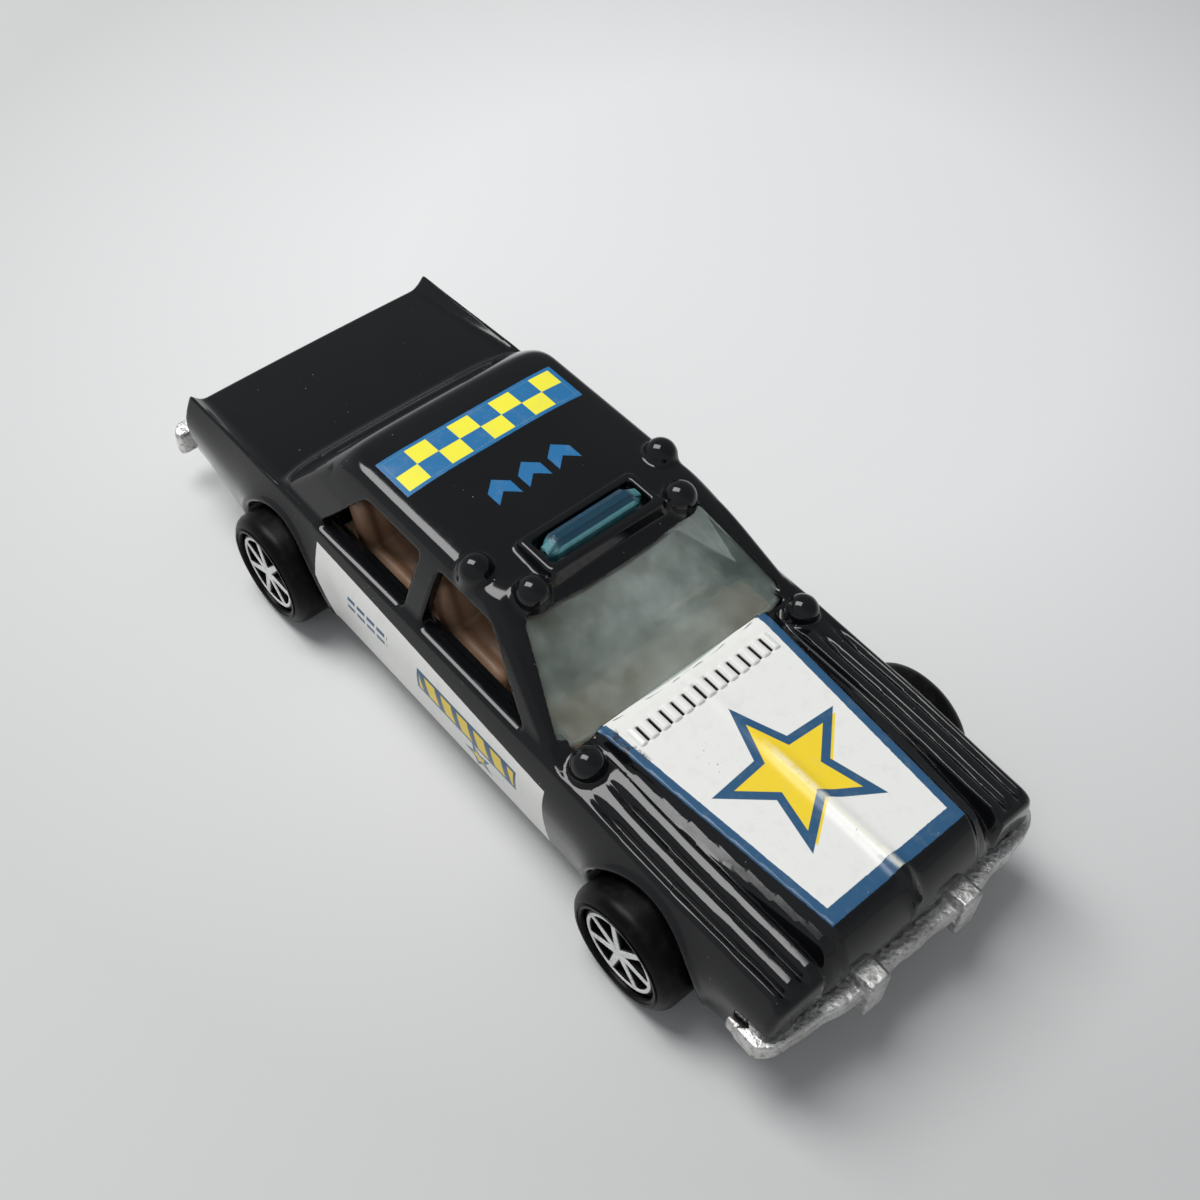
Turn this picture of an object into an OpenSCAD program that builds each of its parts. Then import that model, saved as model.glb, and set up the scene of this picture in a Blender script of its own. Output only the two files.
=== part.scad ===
// Small die-cast toy patrol car: cast body shell, cast base with bumpers, clear window
// moulding, light bar lens, seat moulding, two wire axles and four moulded wheels.
// +X is the front of the car, +Y its left side, +Z up. The origin is on the ground,
// in the middle of the overall length and width. Sizes are millimetres.

/* [Overall] */
// Length over both bumpers
car_length = 75.5; // [75:0.1:76]
// Front bumper face to front axle
front_overhang = 13.3; // [13:0.1:13.6]
// Rear axle to rear bumper face
rear_overhang = 18.5; // [18.2:0.1:18.8]
// Front bumper face ahead of the body nose
front_bumper_reach = 1.5; // [1.4:0.1:1.8]
// Rear bumper face behind the body tail
rear_bumper_reach = 3.1; // [2.8:0.1:3.4]

/* [Wheels] */
// Tyre diameter
tyre_d = 10.1; // [9.8:0.1:10.4]
// Tyre width
tyre_w = 4.6; // [4.2:0.1:4.8]
// Width over the outer wheel faces
track_w = 31; // [30.6:0.1:31.6]
// Radius of the tyre shoulders
tyre_round = 1.1; // [0.8:0.05:1.3]
// Diameter of the stamped ring on the wheel face
rim_d = 6.8; // [6.2:0.1:7.2]
// Width of the stamped ring
rim_ring_w = 0.42; // [0.3:0.02:0.6]
// Depth of the wheel face below the tyre side
face_depth = 0.35; // [0.25:0.05:0.5]
// Depth of the windows between the spokes
spoke_depth = 0.5; // [0.4:0.05:0.7]
// Number of spokes
spoke_n = 7; // [5:1:9]
// Width of a spoke at the ring
spoke_w = 0.62; // [0.5:0.02:0.8]
// Width of a spoke at the hub
spoke_foot_w = 0.9; // [0.7:0.05:1]
// Radius of the hub inside the spoke windows
hub_r = 0.95; // [0.8:0.05:1.1]
// Thickness of the stamped foil
foil_t = 0.08; // [0.06:0.01:0.12]

/* [Axles] */
// Wire diameter
axle_d = 1; // [0.9:0.05:1.1]
// Diameter of the upset end of the wire
axle_head_d = 1.5; // [1.4:0.05:1.6]
// Length of the upset end
axle_head_l = 0.5; // [0.4:0.05:0.6]
// Radial running clearance on the wire
axle_fit = 0.06; // [0.04:0.01:0.09]
// End play of the upset end in its wheel
axle_play = 0.15; // [0.1:0.01:0.2]
// Wheel material left outside the end of the axle
hub_cover = 1.1; // [1:0.05:1.3]

/* [Body] */
// Width over the doors
body_w = 26.6; // [26.2:0.1:27]
// Width over the shoulder creases
shoulder_w = 24.6; // [24.2:0.1:24.9]
// Tuck of each side at the sill
sill_tuck = 0.55; // [0.4:0.05:0.8]
// Height of the lower edge of the body
sill_z = 3.4; // [3.2:0.1:3.6]
// Height of the window sills
belt_z = 12.9; // [12.6:0.1:13.2]
// Drop from the window sill to the shoulder crease
shoulder_drop = 0.4; // [0.3:0.05:0.6]
// Rise of the shoulder crease towards the rear window
hip_rise = 0.35; // [0.2:0.05:0.5]
// Fall of the shoulder crease from the rear window to the tail
tail_fall = 0.5; // [0.3:0.05:0.7]
// Rise of the lower edge behind the rear wheels
tail_rise = 2.4; // [2:0.1:2.8]
// Rise of the lower edge ahead of the front wheels
nose_rise = 0.9; // [0.7:0.1:1.1]
// Fall of the front fender line towards the nose
fender_fall = 0.9; // [0.7:0.1:1.2]
// Narrowing of each side at the nose
nose_taper = 0.6; // [0.4:0.1:0.8]
// Narrowing of each side at the tail
tail_taper = 0.2; // [0.1:0.05:0.4]
// Bow of the tail seen from above
tail_bow = 0.8; // [0.6:0.1:1.1]
// Bow of the nose seen from above
nose_bow = 0.4; // [0.2:0.05:0.6]
// Radius of the nose edges
nose_round = 0.7; // [0.5:0.05:0.9]
// Radius of the tail edges
tail_round = 0.35; // [0.25:0.05:0.5]
// Casting wall of the roof and pillars
roof_wall = 0.9; // [0.8:0.05:1]
// Casting wall of the sides, hood and trunk
side_wall = 1.7; // [1.5:0.05:1.9]
// Radius of the wheel arches
arch_r = 5.65; // [5.5:0.05:5.8]
// Swell of the sides round the wheel arches
arch_flare = 0.25; // [0.15:0.05:0.4]

/* [Hood] */
// Nose to the foot of the windshield
hood_length = 21.8; // [21.4:0.1:22.2]
// Height of the raised hood panel
hood_z = 13.4; // [13.2:0.05:13.6]
// Width of the raised panel at the windshield
panel_w_rear = 16; // [15.6:0.1:16.2]
// Width of the raised panel at the nose
panel_w_front = 12.6; // [12:0.1:13]
// Front edge of the raised panel behind the nose
panel_setback = 1.7; // [1.4:0.1:2]
// Fall of the panel over that distance
nose_fall = 3; // [2.6:0.1:3.4]
// Height of the crease along the middle of the hood
crest_h = 0.22; // [0.1:0.02:0.3]
// Depth of the trough beside the panel at the nose
trough_h = 0.9; // [0.6:0.1:1.1]
// Spacing of the fender flutes
flute_pitch = 1; // [0.9:0.02:1.05]
// Number of fender flutes
flute_n = 3; // [2:1:3]
// Depth of the fender flutes
flute_h = 0.3; // [0.2:0.02:0.36]
// Number of slits in the cowl vent
vent_n = 12; // [8:1:14]
// Spacing of the slits
vent_pitch = 1.08; // [1:0.02:1.12]
// Length of a slit
vent_l = 1.5; // [1.2:0.1:1.8]
// Width of a slit
vent_w = 0.34; // [0.28:0.02:0.4]
// Depth of a slit
vent_h = 0.4; // [0.3:0.05:0.6]

/* [Cabin] */
// Fore and aft run of the windshield
windshield_run = 7; // [6.7:0.1:7.4]
// Foot of the rear window to the tail
trunk_length = 14.3; // [14:0.1:14.6]
// Fore and aft run of the rear window
backlight_run = 4.7; // [4.4:0.1:5]
// Width of the cabin at the window sills
cabin_w = 22.9; // [22.6:0.1:23.2]
// Width of the cabin at the roof edge
roof_w = 20.3; // [20:0.1:20.6]
// Height of the roof edge above the window sills
glass_h = 5.4; // [5.2:0.1:5.6]
// Crown of the roof above its edge
roof_crown = 1.6; // [1.5:0.05:1.8]
// Bow of the windshield seen from above
screen_bow = 1.1; // [0.8:0.1:1.3]
// Bow of the rear window seen from above
backlight_bow = 0.6; // [0.4:0.1:0.8]
// Rounding of the roof corners at the windshield
screen_corner = 0.5; // [0.2:0.1:0.8]
// Rounding of the roof corners at the rear window
backlight_corner = 1.4; // [1:0.1:1.8]
// Width of the windshield at its foot
screen_w_low = 20.9; // [20.5:0.1:21.2]
// Width of the windshield at its head
screen_w_high = 16.8; // [16.4:0.1:17.2]
// Windshield foot above the window sills
screen_foot = 0.35; // [0.3:0.05:0.5]
// Windshield head above the roof edge
screen_head = 0.2; // [0.1:0.05:0.3]
// Width of the rear window
backlight_w = 17; // [16.6:0.1:17.4]
// Rear window foot above the window sills
backlight_foot = 0.5; // [0.4:0.05:0.7]
// Width of the windshield pillar at its foot, seen from the side
pillar_foot = 3.6; // [3.4:0.1:3.8]
// Width of the windshield pillar at its head, seen from the side
pillar_head = 1.2; // [1.1:0.05:1.4]
// Radius of the side window corners
window_round = 0.5; // [0.4:0.05:0.6]
// Side window sill above the body sill
window_foot = 0.2; // [0.1:0.05:0.3]
// Side window head below the roof edge
window_head = 0.3; // [0.2:0.05:0.4]
// Width of the rear pillar at its foot, seen from the side
rear_pillar_foot = 4.65; // [4.4:0.05:4.9]
// Lean of the rear end of the rear side window
rear_window_lean = 4.2; // [3.9:0.1:4.5]
// Front side of the middle pillar, ahead of the middle of the roof
mid_pillar_x = 2.4; // [2.1:0.1:2.7]
// Width of the middle pillar
mid_pillar_w = 2.4; // [2.1:0.1:2.7]
// Forward lean of the middle pillar from sill to roof
mid_pillar_lean = 0.5; // [0.2:0.1:0.8]

/* [Roof lamps] */
// Diameter of the dome lamps
dome_d = 2.5; // [2.3:0.05:2.7]
// Spread of a dome lamp at its foot
dome_spread = 0.4; // [0.2:0.05:0.5]
// Top of the roof lamps above the roof edge
dome_top = 2.7; // [2.6:0.05:2.8]
// Top of the cowl lamps above the window sills
cowl_lamp_top = 1.6; // [1.5:0.05:1.7]
// Front roof lamps behind the windshield head
dome_front_x = 2.1; // [1.9:0.1:2.3]
// Spacing of the front roof lamps
dome_front_w = 13.8; // [13.6:0.1:14.2]
// Rear roof lamps behind the windshield head
dome_rear_x = 6.2; // [6:0.1:6.4]
// Spacing of the rear roof lamps
dome_rear_w = 17.4; // [17.2:0.1:17.6]
// Cowl lamps ahead of the foot of the windshield
cowl_lamp_x = 1; // [0.8:0.1:1.2]
// Spacing of the cowl lamps
cowl_lamp_w = 20.7; // [20.4:0.1:21]
// Light bar socket centre behind the windshield head
bar_x = 3.9; // [3.8:0.05:4.1]
// Length of the light bar lens across the car
lens_l = 8.6; // [8.3:0.1:8.9]
// Width of the lens
lens_w = 1.9; // [1.75:0.05:2.1]
// Height of the lens above the roof edge
lens_top = 2.75; // [2.65:0.05:2.85]
// Bevel of the lens edges
lens_bevel = 0.45; // [0.35:0.05:0.55]
// Gap between the lens and its socket
lens_gap = 0.3; // [0.25:0.05:0.35]
// Rim round the lens socket
socket_rim = 0.8; // [0.7:0.05:0.9]
// Height of the socket rim above the roof edge
socket_top = 2.3; // [2.2:0.05:2.4]
// Spread of the socket foot beyond its rim
socket_spread = 0.5; // [0.4:0.05:0.6]

/* [Windows] */
// Thickness of the clear moulding
glass_t = 0.8; // [0.6:0.05:0.9]
// Gap between the clear moulding and the casting
glass_gap = 0.12; // [0.1:0.01:0.15]

/* [Seats] */
// Height of the seat moulding floor
floor_z = 7.4; // [7.2:0.1:7.7]
// Thickness of the seat moulding floor
floor_t = 0.8; // [0.7:0.05:1]
// Gap between the seat moulding and the casting
tub_gap = 0.25; // [0.2:0.05:0.3]
// Length of a seat cushion
seat_l = 6.2; // [5.8:0.1:6.4]
// Height of a seat cushion above the floor
seat_h = 2; // [1.8:0.1:2.4]
// Thickness of a seat back
back_t = 1.8; // [1.6:0.1:2]
// Height of the seat backs above the cushions
back_h = 4.6; // [4.2:0.1:4.8]
// Rake of the seat backs
back_rake = 1.2; // [0.8:0.1:1.4]
// Spacing of the upholstery channels
channel_pitch = 2; // [1.8:0.1:2.2]
// Depth of the upholstery channels
channel_h = 0.25; // [0.2:0.05:0.35]
// Depth of the dashboard, fore and aft
dash_l = 2.6; // [2.2:0.1:2.8]
// Dashboard top below the window sills
dash_drop = 0.7; // [0.5:0.1:0.9]
// Diameter of the steering wheel
steer_d = 4.4; // [4:0.1:4.6]
// Thickness of the steering wheel rim
steer_t = 0.5; // [0.45:0.05:0.6]
// Steering wheel to the left of the middle
steer_y = 4.6; // [4.4:0.1:5]

/* [Base] */
// Height of the flat underside
base_z = 2; // [1.8:0.1:2.2]
// Thickness of the base
base_t = 1.5; // [1.4:0.1:1.6]
// Gap between the base and the casting
base_gap = 0.15; // [0.1:0.01:0.2]
// Gap between the base and the wheels
wheel_gap = 0.6; // [0.5:0.05:0.8]
// Thickness of an axle saddle
saddle_t = 2; // [1.8:0.1:2.4]
// Metal round the axle in a saddle
saddle_wall = 0.7; // [0.6:0.05:0.8]
// Diameter of the body posts
post_d = 2.6; // [2.4:0.1:2.8]
// Gap round a post in the base
post_gap = 0.2; // [0.15:0.05:0.3]
// Diameter of the spread post ends
rivet_d = 4; // [3.8:0.1:4.2]
// Depth of the spread post ends
rivet_h = 0.6; // [0.5:0.05:0.7]
// Distance of each post from its axle, towards the bumper
post_x = 7.4; // [7.2:0.1:7.6]

/* [Bumpers] */
// Height of the top of the front bumper
front_bumper_z = 7.8; // [7.6:0.1:8]
// Depth of the front bumper face
front_bumper_h = 1.8; // [1.6:0.1:2]
// Thickness of the front bumper
front_bumper_t = 1; // [0.9:0.1:1.2]
// Width of the front bumper
front_bumper_w = 27.4; // [27:0.1:27.8]
// Sweep of the bumper ends behind its middle
bumper_sweep = 1; // [0.8:0.1:1.2]
// Length of the wrapped bumper ends
bumper_wrap = 2.6; // [2.2:0.1:3]
// Overrider faces ahead of the bumper bar
overrider_reach = 0.3; // [0.2:0.05:0.4]
// Spacing of the overriders
overrider_w = 9.6; // [9.2:0.1:10]
// Width of an overrider
overrider_t = 1.1; // [1:0.1:1.3]
// Height of an overrider above and below the bumper bar
overrider_over = 0.5; // [0.4:0.05:0.7]
// Height of the top of the rear bumper
rear_bumper_z = 6.4; // [6.2:0.1:6.6]
// Depth of the rear bumper face
rear_bumper_h = 2.5; // [2.3:0.1:2.7]
// Thickness of the rear bumper
rear_bumper_t = 1.7; // [1.5:0.1:1.8]
// Width of the rear bumper
rear_bumper_w = 26.6; // [26.2:0.1:27]
// Width of the grille opening in the nose
grille_w = 21; // [20.6:0.1:21.4]
// Height of the grille opening above the sill
grille_h = 5.3; // [5.1:0.1:5.5]
// Number of grille bars
grille_n = 4; // [3:1:5]
// Diameter of the headlamps
headlamp_d = 3.6; // [3.4:0.1:3.8]
// Spacing of the headlamps
headlamp_w = 15.6; // [15.2:0.1:15.8]

/* [Hidden] */

// Stations along the car
nose_x = car_length/2 - front_bumper_reach;
tail_x = -car_length/2 + rear_bumper_reach;
front_axle_x = car_length/2 - front_overhang;
rear_axle_x = -car_length/2 + rear_overhang;
cowl_x = nose_x - hood_length;
roof_front_x = cowl_x - windshield_run;
backlight_x = tail_x + trunk_length;
roof_rear_x = backlight_x + backlight_run;
roof_mid_x = (roof_front_x + roof_rear_x)/2;
panel_front_x = nose_x - panel_setback;

// Heights
axle_z = tyre_d/2;
roof_edge_z = belt_z + glass_h;
window_low_z = belt_z + window_foot;
window_high_z = roof_edge_z - window_head;

// Half widths
wheel_outer_y = track_w/2;
wheel_inner_y = wheel_outer_y - tyre_w;
inner_w = body_w/2 - side_wall;
// Hollow at the wheels: clear of the tyres and inside the side walls
well_y = min(wheel_inner_y - wheel_gap, inner_w);

// Paint and plastic colours
enamel_colour = [0.03, 0.03, 0.035];
zinc_colour = [0.62, 0.61, 0.6];
clear_colour = [0.62, 0.72, 0.7, 0.5];
lens_colour = [0.06, 0.36, 0.47, 0.8];
tan_colour = [0.62, 0.46, 0.36];
tyre_colour = [0.05, 0.05, 0.05];
foil_colour = [0.93, 0.93, 0.91];
steel_colour = [0.7, 0.7, 0.72];

// Blending functions
function mix(a, b, t) = a + (b - a)*t;
function clip(t) = max(0, min(1, t));
function ease(t) = let (c = clip(t)) c*c*(3 - 2*c);
function rise(x, x0, x1) = ease((x - x0)/(x1 - x0));
function hill(d, r) = exp(-d*d/(r*r));

// Rounding of the nose and tail: how far an edge draws in at station x
function round_in(d, r) = let (c = max(0, min(d, r))) r - sqrt(r*r - c*c);
function end_in(x) = round_in(x - nose_x + nose_round, nose_round)
    + round_in(tail_x + tail_round - x, tail_round);

// Shares of hood and trunk at station x
blend_under = 1.5;
blend_ahead = 0.3;
function hood_share(x) = rise(x, cowl_x - blend_under, cowl_x + blend_ahead);
function trunk_share(x) = rise(-x, -backlight_x - blend_under, -backlight_x + blend_ahead);
function along_hood(x) = clip((x - cowl_x)/(nose_x - cowl_x));
function along_trunk(x) = clip((backlight_x - x)/(backlight_x - tail_x));

// Half widths of the body at station x
function taper_in(x) = nose_taper*rise(x, front_axle_x, nose_x)
    + tail_taper*rise(-x, -rear_axle_x, -tail_x);
function shoulder_y(x) = shoulder_w/2 - taper_in(x) - end_in(x);
function side_y(x) = body_w/2 - taper_in(x) - end_in(x);

// Heights of the body at station x
function bottom_z(x) = sill_z + tail_rise*rise(-x, -rear_axle_x + arch_r, -tail_x)
    + nose_rise*rise(x, front_axle_x + arch_r, nose_x) + end_in(x);
function shoulder_z(x) = belt_z - shoulder_drop - fender_fall*along_hood(x)
    + hip_rise*rise(-x, -roof_mid_x, -backlight_x) - tail_fall*along_trunk(x) - end_in(x);

// Half width of the side at height z: barrel from the sill to the widest line and in to the shoulder
waist = 0.55;
swell_w = 1.8;
function arch_hill(x, z, wheel_x) = hill(norm([x - wheel_x, z - axle_z]) - arch_r, swell_w);
function arch_swell(x, z) = arch_flare*(arch_hill(x, z, front_axle_x) + arch_hill(x, z, rear_axle_x));
function side_at(x, t) = t < waist
    ? mix(side_y(x) - sill_tuck, side_y(x), sin(90*t/waist))
    : mix(shoulder_y(x), side_y(x), cos(90*(t - waist)/(1 - waist)));
function side_point(x, t) = let (z = mix(bottom_z(x), shoulder_z(x), t))
    [side_at(x, t) + arch_swell(x, z)*4*t*(1 - t), z];

// Top surface at station x and distance s from the centre line
crest_w = 0.7;
foot_w = 1.3;
lip_w = 0.5;
shelf_w = 0.7;
fin_w = 2.6;
trunk_drop = 0.4;
tail_deck_drop = 1.3;
trough_start = 0.1;
nose_power = 1.6;
deck_power = 1.3;
flute_lead = 2;
flute_fade_l = 4;
flute_end = 0.5;
flute_end_l = 1.1;
flute_zone = flute_n*flute_pitch;
function panel_y(x) = let (t = clip((x - cowl_x)/(panel_front_x - cowl_x)))
    mix(panel_w_rear/2, panel_w_front/2, t);
function flute_y(x) = shoulder_y(x) - flute_zone;
function foot_y(x) = min(panel_y(x) + foot_w, flute_y(x) - lip_w);
function panel_z(x) = hood_z - nose_fall*pow(clip((x - panel_front_x)/panel_setback), nose_power);
function trough_z(x) = shoulder_z(x) - mix(trough_start, trough_h, along_hood(x));
function flute_fade(x) = rise(x, cowl_x + flute_lead, cowl_x + flute_lead + flute_fade_l)
    *rise(-x, flute_end - nose_x, flute_end + flute_end_l - nose_x);
function fender_z(x, s) = shoulder_z(x)
    - flute_h*flute_fade(x)*(1 - cos(360*(shoulder_y(x) - s)/flute_pitch))/2;
function hood_top(x, s) = let (p = panel_y(x), f = foot_y(x), inner = flute_y(x))
    s < p ? panel_z(x) + crest_h*hill(s, crest_w)
    : s < f ? mix(panel_z(x), trough_z(x), ease((s - p)/(f - p)))
    : s < inner ? mix(trough_z(x), fender_z(x, inner), ease((s - inner + lip_w)/lip_w))
    : fender_z(x, s);
function deck_z(x) = belt_z - trunk_drop - tail_deck_drop*pow(along_trunk(x), deck_power) - end_in(x);
function trunk_top(x, s) = let (deck = deck_z(x), edge = shoulder_y(x))
    deck + (shoulder_z(x) - deck)*pow(clip((s - edge + fin_w)/fin_w), 2);
function cabin_top(x, s) = mix(shoulder_z(x), belt_z, clip((shoulder_y(x) - s)/shelf_w));
function top_z(x, s) = let (front = mix(cabin_top(x, s), hood_top(x, s), hood_share(x)))
    mix(front, trunk_top(x, s), trunk_share(x));

// Half section of the body at station x, from the sill up to the centre line
side_steps = 8;
flute_steps = 4;
function top_stops(x) = let (w = shoulder_y(x), p = panel_y(x), f = foot_y(x), inner = flute_y(x))
    concat([for (k = [1:flute_steps*flute_n]) w - k*flute_pitch/flute_steps],
           [inner - lip_w/2, f, (p + f)/2, p, p*0.95, p*0.6, crest_w*1.6, crest_w*0.7, 0]);
function half_section(x) = concat([for (k = [0:side_steps]) side_point(x, k/side_steps)],
    [for (s = top_stops(x)) [s, top_z(x, s)]]);
bow_start = 4;
function across(y) = min(1, pow(2*y/shoulder_w, 2));
function bow_shift(x, y) = tail_bow*rise(-x, -rear_axle_x + bow_start, -tail_x)*across(y)
    + nose_bow*rise(x, panel_front_x - bow_start, nose_x)*(1 - across(y));
function ring_point(x, p, side) = [x + bow_shift(x, p[0]), side*p[0], p[1]];
function ring(x) = let (half = half_section(x), last = len(half) - 1)
    concat([for (p = half) ring_point(x, p, 1)], [for (k = [last - 1:-1:0]) ring_point(x, half[k], -1)]);

// Stations crowd towards both ends, where the edges are round
station_n = 32;
function station(k) = mix(tail_x, nose_x, (1 - cos(180*k/station_n))/2);

// Solid skin over a row of rings with the same number of points
function mean(points) = [for (c = [0:2]) [for (p = points) p[c]]*[for (p = points) 1]/len(points)];
module loft(rings) {
    n = len(rings[0]);
    m = len(rings);
    points = concat([for (r = rings) for (p = r) p], [mean(rings[0]), mean(rings[m - 1])]);
    sides = [for (i = [0:m - 2]) for (j = [0:n - 1]) let (a = i*n + j, b = i*n + (j + 1)%n)
        each [[a, a + n, b + n], [a, b + n, b]]];
    first = [for (j = [0:n - 1]) [m*n, j, (j + 1)%n]];
    final = [for (j = [0:n - 1]) [m*n + 1, (m - 1)*n + (j + 1)%n, (m - 1)*n + j]];
    polyhedron(points, concat(sides, first, final));
}

// Cabin outline at height z, drawn in by d
cabin_steps = 8;
function cabin_share(z) = (z - belt_z)/glass_h;
function cabin_y(z) = mix(cabin_w/2, roof_w/2, cabin_share(z));
function plan_bow(u, bow, corner) = bow*u*u + corner*pow(u, 8);
function screen_x(z, y) = mix(cowl_x, roof_front_x, cabin_share(z))
    - plan_bow(y/cabin_y(z), screen_bow, screen_corner);
function backlight_at(z, y) = mix(backlight_x, roof_rear_x, cabin_share(z))
    + plan_bow(y/cabin_y(z), backlight_bow, backlight_corner);
function cabin_stop(z, d, k) = (cabin_y(z) - d)*k/cabin_steps;
function cabin_outline(z, d) = concat(
    [for (k = [-cabin_steps:cabin_steps]) let (y = cabin_stop(z, d, k)) [screen_x(z, y) - d, y]],
    [for (k = [cabin_steps:-1:-cabin_steps]) let (y = cabin_stop(z, d, k)) [backlight_at(z, y) + d, y]]);
thin = 0.01;
module cabin_slice(z, d) translate([0, 0, z]) linear_extrude(thin) polygon(cabin_outline(z, d));

// Crowned roof: the outline draws in as it rises over the edge
crown_steps = 6;
crown_reach = 7;
cabin_skirt = 0.6;
module cabin_block(d) hull() {
    cabin_slice(belt_z - cabin_skirt, d);
    for (k = [0:crown_steps]) let (a = 90*k/crown_steps)
        cabin_slice(roof_edge_z + (roof_crown - d)*sin(a), d + crown_reach*(1 - cos(a)));
}

// Curved pane between two depths below the cabin surface, from z0 to z1, half widths w0 and w1
pane_steps = 6;
module front_pane(z0, z1, w0, w1, out, deep)
    loft([for (k = [-pane_steps:pane_steps]) let (y0 = w0*k/pane_steps, y1 = w1*k/pane_steps)
        [[screen_x(z0, y0) - deep, y0, z0], [screen_x(z1, y1) - deep, y1, z1],
         [screen_x(z1, y1) - out, y1, z1], [screen_x(z0, y0) - out, y0, z0]]]);
module back_pane(z0, z1, w0, w1, out, deep)
    loft([for (k = [-pane_steps:pane_steps]) let (y0 = w0*k/pane_steps, y1 = w1*k/pane_steps)
        [[backlight_at(z0, y0) + out, y0, z0], [backlight_at(z1, y1) + out, y1, z1],
         [backlight_at(z1, y1) + deep, y1, z1], [backlight_at(z0, y0) + deep, y0, z0]]]);

// Openings in the casting
screen_low_z = belt_z + screen_foot;
screen_high_z = roof_edge_z + screen_head;
backlight_low_z = belt_z + backlight_foot;
proud = 0.3;
through = 3;
module screen_opening(gap, out, deep) front_pane(screen_low_z + gap, screen_high_z - gap,
    screen_w_low/2 - gap, screen_w_high/2 - gap, out, deep);
module backlight_opening(gap, out, deep) back_pane(backlight_low_z + gap, window_high_z - gap,
    backlight_w/2 - gap, backlight_w/2 - gap, out, deep);

// Side windows, seen from the side
function corner_x(z) = mix(cowl_x, roof_front_x, cabin_share(z)) - screen_bow;
mid_pillar_front_x = roof_mid_x + mid_pillar_x;
mid_pillar_rear_x = mid_pillar_front_x - mid_pillar_w;
rear_window_x = backlight_x + rear_pillar_foot;
module side_opening(x0, x1, lean0, lean1) rotate([90, 0, 0]) linear_extrude(2*body_w, center=true)
    offset(r=window_round, $fn=24) offset(delta=-window_round)
        polygon([[x0, window_low_z], [x1, window_low_z],
                 [x1 + lean1, window_high_z], [x0 + lean0, window_high_z]]);
module side_windows() {
    side_opening(rear_window_x, mid_pillar_rear_x, rear_window_lean, mid_pillar_lean);
    side_opening(mid_pillar_front_x, corner_x(window_low_z) - pillar_foot, mid_pillar_lean,
                 corner_x(window_high_z) - pillar_head - corner_x(window_low_z) + pillar_foot);
}

// Box between two corners
module block(low, high) translate(low) cube(high - low);

// Hollow of the casting below the roof, hood and trunk
grille_top_z = sill_z + grille_h;
below_z = -1;
belt_wall = 1.5;
scuttle_wall = 2;
parcel_wall = 3;
room_front_x = cowl_x - scuttle_wall;
room_rear_x = backlight_x + parcel_wall;
room_lap = 1;
tub_room_y = cabin_w/2 - roof_wall - tub_gap;
module slope_block(x0, x1, w, top0, top1) hull() {
    block([x0, -w, below_z], [x0 + thin, w, top0]);
    block([x1 - thin, -w, below_z], [x1, w, top1]);
}
module cavity() {
    cabin_block(roof_wall);
    block([room_rear_x, -inner_w, below_z], [room_front_x, inner_w, belt_z - belt_wall]);
    block([rear_axle_x, -inner_w, below_z], [front_axle_x, inner_w, base_top_z + base_gap]);
    block([room_rear_x, -tub_room_y, below_z], [room_front_x, tub_room_y, belt_z]);
    slope_block(room_front_x - room_lap, nose_x - side_wall, well_y,
                hood_z - side_wall, grille_top_z);
    slope_block(tail_x + tail_bow + side_wall, room_rear_x + room_lap, well_y,
                deck_z(tail_x + tail_round) - side_wall, deck_z(backlight_x) - side_wall);
}

module wheel_arches() for (x = [front_axle_x, rear_axle_x], side = [-1, 1])
    translate([x, side*(well_y - lap + body_w/2), axle_z])
        rotate([90, 0, 0]) cylinder(h=body_w, r=arch_r, center=true, $fn=72);

grille_depth = 3;
module grille_opening() block([nose_x - grille_depth, -grille_w/2, below_z],
                              [nose_x + 2*nose_bow, grille_w/2, grille_top_z]);

// Cast dome lamps
dome_sink = 0.2;
cowl_lamp_sink = 1.2;
module dome(x, y, foot_z, top_z) hull() {
    translate([x, y, foot_z]) cylinder(d=dome_d + dome_spread, h=thin, $fn=24);
    translate([x, y, top_z - dome_d/2]) sphere(d=dome_d, $fn=24);
}
module lamps() for (side = [-1, 1]) {
    dome(roof_front_x - dome_front_x, side*dome_front_w/2, roof_edge_z - dome_sink, roof_edge_z + dome_top);
    dome(roof_front_x - dome_rear_x, side*dome_rear_w/2, roof_edge_z - dome_sink, roof_edge_z + dome_top);
    dome(cowl_x + cowl_lamp_x, side*cowl_lamp_w/2, belt_z - cowl_lamp_sink, belt_z + cowl_lamp_top);
}

// Socket frame round the light bar lens
lens_x = roof_front_x - bar_x;
socket_x = lens_w/2 + lens_gap;
socket_y = lens_l/2 + lens_gap;
socket_foot = 0.5;
module socket_plate(over, z) translate([lens_x, 0, z])
    cube([2*(socket_x + over), 2*(socket_y + over), thin], center=true);
module socket_frame() hull() {
    socket_plate(socket_rim + socket_spread, roof_edge_z + socket_foot);
    socket_plate(socket_rim, roof_edge_z + socket_top - thin/2);
}
module lens_slot() block([lens_x - socket_x, -socket_y, roof_edge_z - roof_wall],
                         [lens_x + socket_x, socket_y, roof_edge_z + 2*socket_top]);

// Slits across the hood behind the panel
vent_setback = 1.6;
module cowl_vent() for (k = [0:vent_n - 1])
    translate([cowl_x + vent_setback, (k - (vent_n - 1)/2)*vent_pitch, hood_z])
        cube([vent_l, vent_w, 2*vent_h], center=true);

// Posts under the hood and trunk, spread into rivets below the base
front_post_x = front_axle_x + post_x;
rear_post_x = rear_axle_x - post_x;
rivet_sink = 0.15;
rivet_low_z = base_z + rivet_sink;
module post(x, top_z) translate([x, 0, 0]) {
    translate([0, 0, rivet_low_z]) cylinder(d=post_d, h=top_z - rivet_low_z, $fn=32);
    translate([0, 0, rivet_low_z]) cylinder(d=rivet_d, h=rivet_h, $fn=32);
}

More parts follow.
